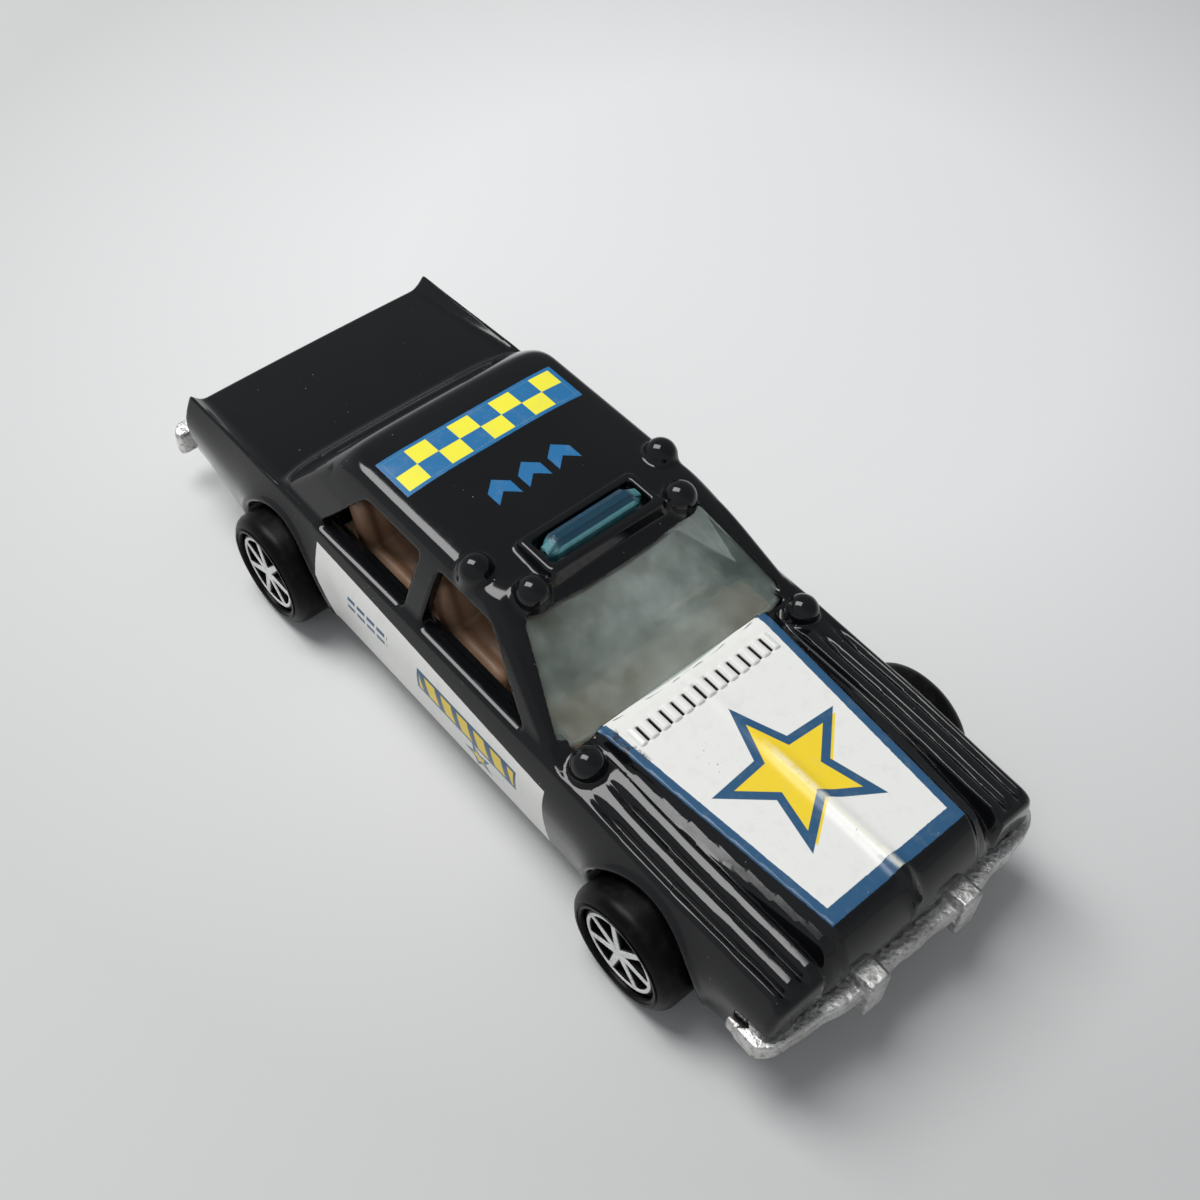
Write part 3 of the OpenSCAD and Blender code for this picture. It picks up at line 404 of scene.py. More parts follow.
class Graph:
    """Node graph of one material, with a Principled shader and helpers for its sockets."""

    def __init__(self, name: str) -> None:
        """Makes a new material that holds only a shader and an output."""
        self.material = bpy.data.materials.new(name)
        self.material.use_nodes = True
        self.tree = self.material.node_tree
        self.tree.nodes.clear()
        self.shader = self.node("ShaderNodeBsdfPrincipled")
        self.output = self.node("ShaderNodeOutputMaterial", inputs={"Surface": self.shader.outputs["BSDF"]})
        place = self.node("ShaderNodeTexCoord").outputs["Object"]
        scaled = self.node("ShaderNodeVectorMath", {"operation": "SCALE"},
                           {"Vector": place, "Scale": 1.0 / METRE})
        self.place = scaled.outputs["Vector"]
        split = self.node("ShaderNodeSeparateXYZ", inputs={"Vector": self.place})
        self.x, self.y, self.z = (Value(self, split.outputs[k]) for k in "XYZ")

    def node(self, kind: str, settings: dict | None = None, inputs: dict | None = None) -> bpy.types.Node:
        """Adds any node.

        Args:
            kind: Node type.
            settings: Properties, set first; a ramp's stops come as a list of (place, colour).
            inputs: Values, sockets or wrapped values by socket name or number.

        Returns:
            The new node.
        """
        made = self.tree.nodes.new(kind)
        for key, value in (settings or {}).items():
            if key == "stops":
                ramp = made.color_ramp.elements
                while len(ramp) < len(value):
                    ramp.new(1.0)
                for element, (place, colour) in zip(ramp, value):
                    element.position = place
                    element.color = (*colour, 1.0)
            else:
                setattr(made, key, value)
        for key, value in (inputs or {}).items():
            self.feed(made.inputs[key], value)
        return made

    def feed(self, socket: bpy.types.NodeSocket, value: object) -> None:
        """Links a socket to a socket or wrapped value, or sets its number."""
        if isinstance(value, Value):
            self.tree.links.new(value.socket, socket)
        elif isinstance(value, bpy.types.NodeSocket):
            self.tree.links.new(value, socket)
        else:
            socket.default_value = value

    def math(self, operation: str, a: object, b: object = None, clamp: bool = False) -> Value:
        """Adds a Math node and wraps its result."""
        inputs = {0: a} if b is None else {0: a, 1: b}
        settings = {"operation": operation, "use_clamp": clamp}
        return Value(self, self.node("ShaderNodeMath", settings, inputs).outputs[0])

    def blend(self, below: object, above: object, share: Value) -> bpy.types.NodeSocket:
        """Colour that goes from one to another with a share.

        Args:
            below: Colour or socket at share 0.
            above: Colour or socket at share 1.
            share: The mask.

        Returns:
            Colour socket.
        """
        sides = {6: below, 7: above}
        inputs = {k: (*v, 1.0) if isinstance(v, tuple) else v for k, v in sides.items()}
        mixer = self.node("ShaderNodeMix", {"data_type": "RGBA"}, {0: share, **inputs})
        return mixer.outputs[2]

    def noise(self, scale: float, detail: float = 2.0, rough: float = 0.5, place: object = None) -> Value:
        """Cloudy noise from 0 to 1, with scale in features per millimetre."""
        inputs = {"Vector": place or self.place, "Scale": scale, "Detail": detail, "Roughness": rough}
        return Value(self, self.node("ShaderNodeTexNoise", inputs=inputs).outputs[0])

    def cells(self, scale: float) -> Value:
        """Distance to the nearest of scattered points, with scale in points per millimetre."""
        inputs = {"Vector": self.place, "Scale": scale}
        return Value(self, self.node("ShaderNodeTexVoronoi", inputs=inputs).outputs[0])

    def bump(self, height: Value, distance: float, strength: float = 1.0) -> None:
        """Feeds a height, in units of distance mm, to the shader's normal."""
        inputs = {"Height": height, "Distance": distance * METRE, "Strength": strength}
        self.feed(self.shader.inputs["Normal"], self.node("ShaderNodeBump", inputs=inputs).outputs["Normal"])

    def set(self, **sockets: object) -> None:
        """Sets the shader's sockets; an underscore in a name stands for a space."""
        for key, value in sockets.items():
            value = (*value, 1.0) if isinstance(value, tuple) and len(value) == 3 else value
            self.feed(self.shader.inputs[key.replace("_", " ")], value)


@dataclass(frozen=True)
class Star:
    """Plain five-pointed star on a plane, given by its centre, tip radius and inner radius."""

    u: float
    v: float
    tip: float
    inner: float
    stretch: float = 1.0

    def depth(self, g: Graph, u: Value, v: Value) -> Value:
        """Depth inside the star's edge: the plane is folded into one tenth and measured to one edge.

        Args:
            g: The material's graph.
            u: First place on the plane; the first tip points to its negative side.
            v: Second place.

        Returns:
            Depth in mm, negative outside.
        """
        a = (u - self.u) / -self.stretch
        b = v - self.v
        fifth = 2.0 * math.pi / 5.0
        angle = g.math("ARCTAN2", b, a)
        folded = abs((angle + fifth / 2.0).mod(fifth) - fifth / 2.0)
        radius = g.math("SQRT", a * a + b * b)
        across = radius * g.math("SINE", folded)
        along = radius * g.math("COSINE", folded)
        corner_u = self.inner * math.cos(fifth / 2.0)
        corner_v = self.inner * math.sin(fifth / 2.0)
        length = math.hypot(corner_v, self.tip - corner_u)
        return (along - self.tip) * (-corner_v / length) - across * ((self.tip - corner_u) / length)


@dataclass(frozen=True)
class Enamel:
    """Gloss black enamel with printed white panels, a blue-edged star and blocks of blue and yellow."""

    black: Colour = (0.0026, 0.0028, 0.0034)
    white: Colour = (0.78, 0.78, 0.745)
    blue: Colour = (0.022, 0.088, 0.185)
    roof_blue: Colour = (0.018, 0.15, 0.35)
    yellow: Colour = (0.86, 0.63, 0.028)
    roof_yellow: Colour = (0.86, 0.80, 0.055)
    hood_star: Star = Star(24.9, 0.0, 6.15, 2.7, 1.06)
    door_star: Star = Star(6.4, 5.8, 1.75, 0.78)
    star_line: float = 0.62
    fill_inset: float = 0.22
    slip: float = 0.3
    fray: float = 0.12
    fine_fray: float = 0.08
    side_border: float = 0.72
    front_border: float = 1.1
    slit_half: tuple[float, float] = (0.68, 0.12)
    slits_y: float = 6.5
    door_front_x: float = 14.2
    door_rear_x: float = -14.25
    door_top_z: float = 10.45
    door_arch_gap: float = 0.75
    row_x: float = 5.1
    row_z: float = 8.35
    row_half: tuple[float, float] = (5.9, 1.15)
    block_pitch: float = 1.96
    block_half: float = 0.62
    block_lean: float = 0.35
    block_inset: float = 0.28
    dash_z: tuple[float, float] = (9.3, 8.45)
    dash_x: float = -7.2
    dash_reach: float = 2.6
    dash_pitch: float = 1.3
    checks_x: float = -9.3
    checks_half: tuple[float, float] = (2.05, 8.3)
    check_size: tuple[float, float] = (1.72, 1.975)
    arrow_x: float = -3.75
    arrow_pitch: float = 2.8
    arrow_half: tuple[float, float] = (0.72, 1.05)
    # Pale streak down the hood's centre ridge: partly rubbed print, partly a painted highlight on the ridge.
    rubbed: Colour = (0.9, 0.88, 0.72)
    scuffed: Colour = (0.02, 0.03, 0.045)
    cloudy: Colour = (0.006, 0.0063, 0.007)
    grime: Colour = (0.36, 0.35, 0.33)
    dust: Colour = (0.5, 0.5, 0.5)

    def hood(self, g: Graph, plan: "CarPlan", wear: Value) -> tuple[bpy.types.NodeSocket, Value]:
        """Hood print: white panel with a blue edge and a star, and a pale streak down the centre ridge that
        is partly rubbed print and partly a painted highlight.

        Args:
            g: The graph.
            plan: Sizes of the body.
            wear: Noise that frays the edges.

        Returns:
            Colour, and the mask of the print.
        """
        x, y = g.x, g.y
        slope = (plan.panel_front - plan.panel_rear) / (plan.panel_front_x - plan.cowl_x)
        half = (x - plan.cowl_x) * slope + (plan.panel_rear + 0.05)
        ragged = (wear - 0.5) * self.fray
        side = half - abs(y) + ragged
        ahead = (plan.panel_front_x + 0.02) - x + ragged
        inside = side.least(ahead)
        border = (side - self.side_border).least(ahead - self.front_border)
        depth = self.hood_star.depth(g, x, y)
        shifted = self.hood_star.depth(g, x - self.slip, y - self.slip)
        line = depth.over(0.0) * depth.under(self.star_line)
        fill = shifted.over(self.fill_inset)
        # Mask of that streak: partly rubbed print, partly a painted highlight along the ridge's crest.
        crest = hill_mask(g, y, 0.42) * x.over(22.5, 2.0) * wear.over(0.36, 0.3)
        chips = wear.over(0.66, 0.03) * hill_mask(g, y, 0.5) * x.over(30.0, 0.5) * x.under(31.6, 0.5)
        paint = g.blend(self.white, self.yellow, fill)
        paint = g.blend(paint, self.blue, line)
        paint = g.blend(self.blue, paint, border.over(0.0))
        paint = g.blend(paint, self.rubbed, crest * 0.62)
        by_lamp = abs(x - 16.2).most(abs(y + 7.9)).under(1.7, 0.8) * g.noise(1.5, 5.0, 0.7).over(0.54, 0.06)
        by_lamp = by_lamp * side.under(0.85, 0.3)
        spray = abs(x - 20.6).most(abs(y + 3.2)).under(1.1, 0.5) * g.cells(2.3).under(0.13, 0.06)
        paint = g.blend(paint, self.scuffed, chips.most(by_lamp).most(spray * 0.7))
        top = g.z.over(plan.hood_z - 0.75, 0.1) * x.over(plan.cowl_x - 3.2, 0.02) * x.under(plan.nose_x)
        slit_y = abs((y / plan.vent_pitch).mod(1.0) - 0.5) * plan.vent_pitch
        slit_x = abs(x - plan.cowl_x - plan.vent_ahead)
        slits = slit_y.under(self.slit_half[1], 0.05) * slit_x.under(self.slit_half[0], 0.1)
        return paint, inside.over(0.0) * top * (1.0 - slits * abs(y).under(self.slits_y))

    def door(self, g: Graph, plan: "CarPlan", wear: Value) -> tuple[bpy.types.NodeSocket, Value]:
        """Door print: white panel, a row of blocks, a small star and two broken lines.

        Args:
            g: The graph.
            plan: Sizes of the body.
            wear: Noise that frays the edges.

        Returns:
            Colour, and the mask of the print.
        """
        x, z = g.x, g.z
        ragged = (wear - 0.5) * self.fine_fray
        front = (self.door_front_x - 0.045 * (z - 3.8)) - x
        top = (self.door_top_z + (13.85 - x) * 0.04) - z
        rear = x - self.door_rear_x - (11.5 - z) * 0.12
        back_x = x - plan.rear_axle_x
        up = z - plan.axle_z
        arch = g.math("SQRT", back_x * back_x + up * up) - (plan.arch_r + self.door_arch_gap)
        inside = front.least(top).least(rear).least(arch) + ragged
        lean = x + (z - 8.4) * self.block_lean
        row = (x - 10.9) * -0.012 + self.row_z
        height = self.row_half[1] - abs(z - row)
        length = self.row_half[0] - abs(x - self.row_x)
        frame_depth = height.least(length)
        cell = self.block_half - abs((lean - 0.1).mod(self.block_pitch) - self.block_pitch / 2.0)
        block_depth = cell.least(height - self.block_inset).least(length - self.block_inset)
        depth = self.door_star.depth(g, x, z)
        dash = 0.52 - abs((x + 10.0).mod(self.dash_pitch) - self.dash_pitch / 2.0)
        upper, lower = (0.2 - abs(z - level) for level in self.dash_z)
        lines = upper.most(lower).least(dash).least(self.dash_reach - abs(x - self.dash_x))
        paint = g.blend(self.white, self.blue, depth.over(0.0))
        paint = g.blend(paint, self.yellow, depth.over(0.3))
        paint = g.blend(paint, self.blue, frame_depth.over(0.0))
        paint = g.blend(paint, self.yellow, block_depth.over(0.0))
        paint = g.blend(paint, self.blue, lines.over(0.0))
        outer = abs(g.y).over(plan.body_w / 2.0 - plan.sill_tuck - 0.75, 0.1)
        return paint, inside.over(0.0) * outer

    def roof(self, g: Graph, plan: "CarPlan", wear: Value) -> tuple[bpy.types.NodeSocket, Value]:
        """Roof print: two rows of yellow checks on blue, and three blue arrows ahead of them.

        Args:
            g: The graph.
            plan: Sizes of the body.
            wear: Noise that frays the edges.

        Returns:
            Colour, and the mask of the print.
        """
        x, y = g.x, g.y
        ragged = (wear - 0.5) * self.fine_fray
        along = self.checks_half[0] - abs(x - self.checks_x)
        across = self.checks_half[1] - abs(y)
        band = along.least(across) + ragged
        check_u = (y + 7.9) / self.check_size[1]
        check_v = (x + 11.02) / self.check_size[0]
        odd = (check_u.floor() + check_v.floor()).mod(2.0)
        check = (along - 0.33).least(across - 0.4).over(0.0) * odd
        reach = 1.5 * self.arrow_pitch
        arrow_y = (y + reach).mod(self.arrow_pitch) - self.arrow_pitch / 2.0
        arrow = self.arrow_half[0] - abs(x - self.arrow_x - abs(arrow_y) * 0.9)
        arrows = arrow.least(self.arrow_half[1] - abs(arrow_y)).least(reach - abs(y)) + ragged
        paint = g.blend(self.roof_blue, self.roof_yellow, check)
        high = g.z.over(plan.roof_edge_z + 0.7, 0.1)
        return paint, band.most(arrows).over(0.0) * high

    def material(self, plan: "CarPlan") -> bpy.types.Material:
        """Black enamel under the prints, with orange peel, dust specks and thin wear."""
        g = Graph("enamel")
        wear = g.noise(2.2, 4.0, 0.6)
        cloud = g.noise(0.12, 3.0)
        specks = g.cells(1.1).under(0.045, 0.02) * g.noise(0.35).over(0.53, 0.05)
        paint: object = g.blend(self.black, self.cloudy, cloud)
        ink = None
        for layer in (self.hood, self.door, self.roof):
            colour, mask = layer(g, plan, wear)
            paint = g.blend(paint, colour, mask)
            ink = mask if ink is None else ink.most(mask)
        grime = g.noise(0.9, 5.0, 0.65).over(0.62, 0.2) * 0.12
        paint = g.blend(paint, self.grime, grime * ink)
        paint = g.blend(paint, self.dust, specks * 0.45)
        rough = 0.07 + cloud * 0.05 + ink * 0.2 + specks * 0.3 + g.noise(1.4, 3.0).over(0.6, 0.3) * 0.03
        g.set(Base_Color=paint, Roughness=rough, IOR=1.43)
        peel = g.noise(0.4, 1.0) * 0.8 + g.noise(2.4, 1.0) * 0.03 + ink * 0.15 + specks * 0.4
        g.bump(peel, 0.04, 0.35)
        return g.material


def hill_mask(g: Graph, v: Value, r: float) -> Value:
    """Soft mask that falls from 1 at v = 0 to 0 at r."""
    return g.math("SUBTRACT", 1.0, abs(v) / r, clamp=True)


@dataclass(frozen=True)
class Zinc:
    """Bare cast zinc: dull grey metal, pitted, darker in the pits."""

    bright: Colour = (0.74, 0.735, 0.72)
    dark: Colour = (0.20, 0.195, 0.185)
    tarnished: Colour = (0.36, 0.35, 0.33)

    def material(self) -> bpy.types.Material:
        """Metal with cloudy tarnish, pits and fine scratches."""
        g = Graph("zinc")
        pits = g.cells(2.4)
        grain = g.noise(2.6, 5.0, 0.68)
        tarnish = g.noise(0.45, 4.0, 0.6)
        low = grain.under(0.4, 0.12).most(pits.under(0.1, 0.08))
        colour = g.blend(self.bright, self.dark, low * 0.8)
        colour = g.blend(colour, self.tarnished, tarnish.over(0.56, 0.25) * 0.7)
        g.set(Base_Color=colour, Metallic=1.0, Roughness=0.24 + grain * 0.2 + low * 0.2)
        g.bump(grain + pits * 0.4, 0.1, 0.85)
        return g.material


@dataclass(frozen=True)
class ClearPlastic:
    """Clear moulding with a grey-green tint and smudges."""

    tint: Colour = (0.36, 0.48, 0.42)
    # Pale colour of the smudges, also used for a painted sheen of reflected light.
    haze: Colour = (0.88, 1.0, 0.95)

    def material(self) -> bpy.types.Material:
        """Transparent plastic, hazier at its smudges, with a painted sheen of reflected light towards the
        middle of the car.
        """
        g = Graph("clear_plastic")
        smudge = g.noise(0.32, 5.0, 0.62)
        fine = g.noise(1.9, 3.0, 0.6)
        # Smudges, plus a painted sheen of reflected light that is strongest along the middle of the car.
        smudge_and_sheen = (smudge.over(0.5, 0.3) * 0.6 + hill_mask(g, g.y, 9.0) * 0.6).least(1.0)
        colour = g.blend(self.tint, self.haze, smudge_and_sheen)
        g.set(Base_Color=colour, Transmission_Weight=0.74, IOR=1.46, Alpha=0.45 + smudge_and_sheen * 0.42,
              Roughness=0.02 + smudge.over(0.45, 0.3) * 0.06 + fine * 0.03)
        g.bump(smudge + fine * 0.06, 0.04, 0.3)
        return g.material


@dataclass(frozen=True)
class LensPlastic:
    """Blue transparent lens, deep in the middle, with a painted highlight along its front bevel and ends."""

    deep: Colour = (0.006, 0.075, 0.135)
    # Colour of the painted highlight on the bevel and ends.
    painted_glint: Colour = (0.3, 0.86, 0.92)

    def material(self, lens: "LensSizes") -> bpy.types.Material:
        """Glassy blue with a painted highlight on the front bevel and the ends."""
        g = Graph("lens_plastic")
        # Painted highlight: bright cyan laid on the front bevel and the ends, where light catches the lens.
        front = g.x.over(lens.x + lens.width / 2.0 - lens.bevel * 0.5, 0.12)
        end = abs(g.y).over(lens.length / 2.0 - 1.6 * lens.bevel, 0.3)
        streak = g.noise(1.6, 3.0)
        painted_glint = front.most(end * 0.7) * (0.25 + streak * 0.8)
        colour = g.blend(self.deep, self.painted_glint, painted_glint)
        g.set(Base_Color=colour, Roughness=0.07 + streak * 0.08, IOR=1.5,
              Transmission_Weight=0.55, Coat_Weight=0.4)
        g.bump(g.noise(0.8, 2.0), 0.06, 0.4)
        return g.material


@dataclass(frozen=True)
class TanPlastic:
    """Moulded tan plastic of the seats."""

    tan: Colour = (0.40, 0.235, 0.145)
    shade: Colour = (0.27, 0.15, 0.09)

    def material(self) -> bpy.types.Material:
        """Soft sheen with faint flow marks."""
        g = Graph("tan_plastic")
        flow = g.noise(0.4, 3.0)
        grain = g.noise(5.0, 3.0)
        colour = g.blend(self.tan, self.shade, flow.over(0.5, 0.5))
        g.set(Base_Color=colour, Roughness=0.38 + grain * 0.15, IOR=1.48)
        g.bump(grain * 0.4 + flow, 0.04, 0.5)
        return g.material


@dataclass(frozen=True)
class WheelPlastic:
    """Black moulded wheel plastic: satin tread, glossier face."""

    black: Colour = (0.002, 0.002, 0.0023)
    rubbed: Colour = (0.007, 0.007, 0.007)

    def material(self) -> bpy.types.Material:
        """Near-black with rubbed patches."""
        g = Graph("wheel_plastic")
        rub = g.noise(0.7, 4.0, 0.6)
        fine = g.noise(4.0, 2.0)
        colour = g.blend(self.black, self.rubbed, rub.over(0.58, 0.2))
        g.set(Base_Color=colour, Roughness=0.26 + rub * 0.2, IOR=1.27, Specular_IOR_Level=0.3)
        g.bump(fine * 0.3 + rub, 0.03, 0.5)
        return g.material


@dataclass(frozen=True)
class WheelFoil:
    """White hot-stamped foil, a little thin and worn at its edges."""

    white: Colour = (0.82, 0.82, 0.80)
    worn: Colour = (0.35, 0.35, 0.34)

    def material(self) -> bpy.types.Material:
        """White with worn grey patches."""
        g = Graph("wheel_foil")
        worn = g.noise(2.4, 4.0, 0.65)
        colour = g.blend(self.white, self.worn, worn.over(0.6, 0.12) * 0.6)
        g.set(Base_Color=colour, Roughness=0.3 + worn * 0.2)
        g.bump(worn, 0.02, 0.5)
        return g.material


@dataclass(frozen=True)
class Steel:
    """Bright drawn wire."""

    grey: Colour = (0.62, 0.62, 0.64)
    line: Colour = (0.3, 0.3, 0.3)
    drawn: Triple = (6.0, 0.5, 6.0)

    def material(self) -> bpy.types.Material:
        """Metal with fine draw lines along Y."""
        g = Graph("axle_wire")
        stretched = g.node("ShaderNodeVectorMath", {"operation": "MULTIPLY"}, {0: g.place, 1: self.drawn})
        lines = g.noise(1.0, 3.0, place=stretched.outputs["Vector"])
        g.set(Base_Color=g.blend(self.grey, self.line, lines.over(0.6, 0.2) * 0.6),
              Metallic=1.0, Roughness=0.22 + lines * 0.2)
        g.bump(lines, 0.02, 0.5)
        return g.material


@dataclass(frozen=True)
class CarPlan:
    """Stations and sizes of the body casting, in mm."""

    front_axle_x: float
    rear_axle_x: float
    axle_z: float
    nose_x: float = 36.25
    tail_x: float = -34.2
    hood_length: float = 21.8
    windshield_run: float = 7.0
    trunk_length: float = 13.35
    backlight_run: float = 5.2
    body_w: float = 26.6
    shoulder_w: float = 24.6
    sill_tuck: float = 0.55
    sill_z: float = 3.4
    belt_z: float = 12.9
    shoulder_drop: float = 0.4
    hip_rise: float = 0.35
    tail_fall: float = 0.5
    tail_rise: float = 2.4
    nose_rise: float = 0.9
    fender_fall: float = 0.9
    nose_taper: float = 0.3
    tail_taper: float = 0.2
    tail_bow: float = 0.12
    nose_bow: float = 0.4
    waist: float = 0.55
    arch_r: float = 5.65
    arch_flare: float = 0.32
    hood_z: float = 13.4
    panel_rear: float = 8.0
    panel_front: float = 6.3
    panel_setback: float = 1.7
    nose_fall: float = 3.0
    crest_h: float = 0.26
    trough_h: float = 1.3
    trough_x: float = 24.0
    flute_pitch: float = 1.5
    flute_n: int = 3
    flute_h: float = 0.42
    fender_slope: float = 0.24
    fin_w: float = 1.5
    cabin_w: float = 23.6
    roof_w: float = 20.3
    glass_h: float = 5.4
    crown_step: float = 1.05
    crown_edge: float = 0.25
    crown_rise: float = 0.55
    crown_reach: float = 7.0
    screen_bow: float = 1.1
    screen_corner: float = 0.5
    backlight_bow: float = 0.15
    backlight_corner: float = 1.0
    roof_wall: float = 0.9
    pane_foot_y: float = 10.9
    pane_head_y: float = 8.35
    vent_pitch: float = 1.08
    vent_ahead: float = 1.6

    @property
    def cowl_x(self) -> float:
        """Foot of the windshield."""
        return self.nose_x - self.hood_length

    @property
    def roof_front_x(self) -> float:
        """Head of the windshield."""
        return self.cowl_x - self.windshield_run

    @property
    def backlight_x(self) -> float:
        """Foot of the rear window."""
        return self.tail_x + self.trunk_length

    @property
    def roof_rear_x(self) -> float:
        """Head of the rear window."""
        return self.backlight_x + self.backlight_run

    @property
    def roof_mid_x(self) -> float:
        """Middle of the roof."""
        return (self.roof_front_x + self.roof_rear_x) / 2.0

    @property
    def roof_edge_z(self) -> float:
        """Height of the roof edge."""
        return self.belt_z + self.glass_h

    @property
    def panel_front_x(self) -> float:
        """Front edge of the raised hood panel."""
        return self.nose_x - self.panel_setback

    def share(self, z: Array) -> Array:
        """Height as a share of the way from the window sills to the roof edge."""
        return (z - self.belt_z) / self.glass_h

    def cabin_y(self, z: Array) -> Array:
        """Half width of the cabin at a height."""
        return mix(self.cabin_w / 2.0, self.roof_w / 2.0, self.share(z))

    def pane_y(self, z: Array) -> Array:
        """Half width of the windshield opening at a height."""
        return mix(self.pane_foot_y, self.pane_head_y, clip(self.share(z)))

    def across(self, z: Array, y: Array) -> Array:
        """Distance from the centre line as a share of the cabin's half width, held a little past the side."""
        return np.minimum(np.abs(y) / self.cabin_y(z), 1.15)

    def screen_x(self, z: Array, y: Array) -> Array:
        """Windshield surface: leans back with height and bows back with u² and u⁸ across the car."""
        u = self.across(z, y)
        lean = mix(self.cowl_x, self.roof_front_x, self.share(z))
        return lean - self.screen_bow * u**2 - self.screen_corner * u**8

    def backlight_at(self, z: Array, y: Array) -> Array:
        """Rear window surface: leans forward with height, bows forward with u² and u⁸ across the car."""
        u = self.across(z, y)
        lean = mix(self.backlight_x, self.roof_rear_x, self.share(z))
        return lean + self.backlight_bow * u**2 + self.backlight_corner * u**8

    def shoulder_y(self, x: Array) -> Array:
        """Half width at the shoulder crease."""
        return self.shoulder_w / 2.0 - self.taper(x)

    def taper(self, x: Array) -> Array:
        """Narrowing of each side towards nose and tail."""
        front = self.nose_taper * rise(x, self.front_axle_x, self.nose_x)
        return front + self.tail_taper * rise(-x, -self.rear_axle_x, -self.tail_x)

    def along_hood(self, x: Array) -> Array:
        """Share of the way from cowl to nose."""
        return clip((x - self.cowl_x) / self.hood_length)

    def along_trunk(self, x: Array) -> Array:
        """Share of the way from rear window to tail."""
        return clip((self.backlight_x - x) / self.trunk_length)

    def shoulder_z(self, x: Array) -> Array:
        """Height of the shoulder crease."""
        hip = self.hip_rise * rise(-x, -self.roof_mid_x, -self.backlight_x)
        return (self.belt_z - self.shoulder_drop - self.fender_fall * self.along_hood(x) + hip
                - self.tail_fall * self.along_trunk(x))

    def bottom_z(self, x: Array) -> Array:
        """Height of the lower edge, swept up at nose and tail."""
        tail = self.tail_rise * rise(-x, -self.rear_axle_x + self.arch_r, -self.tail_x)
        return self.sill_z + tail + self.nose_rise * rise(x, self.front_axle_x + self.arch_r, self.nose_x)

    def panel_y(self, x: Array) -> Array:
        """Half width of the raised hood panel."""
        along = clip((x - self.cowl_x) / (self.panel_front_x - self.cowl_x))
        return mix(self.panel_rear, self.panel_front, along)

    def hood_top(self, x: Array, s: Array) -> Array:
        """Hood height: panel with a centre crease, sloped face, trough that widens forward, ridged fender.

        Args:
            x: Station along the car.
            s: Distance from the centre line.

        Returns:
            Height.
        """
        p = self.panel_y(x)
        inner = self.shoulder_y(x) - (self.flute_n - 0.67) * self.flute_pitch
        foot = np.minimum(p + mix(1.6, 1.2, self.along_hood(x)), inner)
        fall = self.nose_fall * clip((x - self.panel_front_x + 0.3) / (self.panel_setback + 0.3)) ** 1.7
        grow = 1.0 + 1.2 * rise(x, self.panel_front_x - 3.0, self.nose_x)
        crest = self.crest_h * mix(0.3, 1.0, rise(x, self.cowl_x + 5.0, self.cowl_x + 11.0))
        panel = self.hood_z - fall + crest * grow * hill(s, 0.6)
        face = panel - 0.5 * ease((s - p + 0.1) / 0.6) - 0.36 * np.maximum(s - p - 0.2, 0.0)
        wave = (1.0 - np.cos(2.0 * math.pi * (self.shoulder_y(x) - s) / self.flute_pitch)) / 2.0
        tilt = self.fender_slope * rise(x, self.cowl_x, self.cowl_x + 3.0) * (self.shoulder_y(x) - s)
        valley = wave**3 * rise(x, self.cowl_x + 2.0, self.cowl_x + 6.0)
        ridge = (1.0 - valley) * rise(-x, 0.3 - self.nose_x, 1.2 - self.nose_x)
        fender = self.shoulder_z(x) + tilt - self.flute_h * (1.0 - ridge)
        top = mix(face, fender, ease((s - foot + 0.15) / (inner - foot + 0.3)))
        depth = self.trough_h * clip((x - self.trough_x) / (self.nose_x - self.trough_x))
        return top - depth * ease((s - foot + 0.15) / 0.8) * ease((inner + 0.1 - s) / 0.7)

    def trunk_top(self, x: Array, s: Array) -> Array:
        """Trunk height: a deck that falls to the tail, turned up with the square of s into two fins."""
        deck = self.belt_z - 0.4 - 1.3 * self.along_trunk(x) ** 1.3
        lift = clip((s - self.shoulder_y(x) + self.fin_w) / self.fin_w) ** 2
        return deck + (self.shoulder_z(x) - deck) * lift

    def top_z(self, x: Array, s: Array) -> Array:
        """Upper surface of the lower body: hood, window sills and trunk blended along the car."""
        sill = mix(self.shoulder_z(x), self.belt_z, clip((self.shoulder_y(x) - s) / 0.7))
        front = mix(sill, self.hood_top(x, s), rise(x, self.cowl_x - 1.5, self.cowl_x + 0.3))
        return mix(front, self.trunk_top(x, s), rise(-x, -self.backlight_x - 1.5, -self.backlight_x + 0.3))

    def straight(self, x: Array, y: Array) -> Array:
        """Station along the car with the bows of nose and tail undone."""
        across = np.minimum(1.0, (2.0 * y / self.shoulder_w) ** 2)
        tail = self.tail_bow * rise(-x, -self.rear_axle_x + 4.0, -self.tail_x) * across
        nose = self.nose_bow * rise(x, self.panel_front_x - 4.0, self.nose_x) * (1.0 - across)
        return x - tail - nose

    def arch_distance(self, x: Array, z: Array) -> Array:
        """Distance outside the nearer wheel arch, seen from the side."""
        front = np.hypot(x - self.front_axle_x, z - self.axle_z)
        return np.minimum(front, np.hypot(x - self.rear_axle_x, z - self.axle_z)) - self.arch_r


@dataclass(frozen=True)
class LensSizes:
    """Light bar lens, in mm."""

    x: float
    length: float
    width: float
    foot_z: float
    top_z: float
    bevel: float = 0.45


@dataclass(frozen=True)
class Piece:
    """What every dressed piece shares: its body, its slot and the node that it stands for."""

    name: str
    body: str
    slot: str
    nodes: tuple[str, ...]

    def dress(self, obj: bpy.types.Object, material: bpy.types.Material) -> bpy.types.Object:
        """Gives a piece its material and ties it to the frame.

        Args:
            obj: The piece.
            material: Its finish.

        Returns:
            The same piece.
        """
        obj.data.materials.clear()
        obj.data.materials.append(material)
        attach(obj, self.body)
        if self.nodes:
            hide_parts(*self.nodes)
        LOG.info("%s: %d faces on %s", obj.name, len(obj.data.polygons), self.body)
        return obj


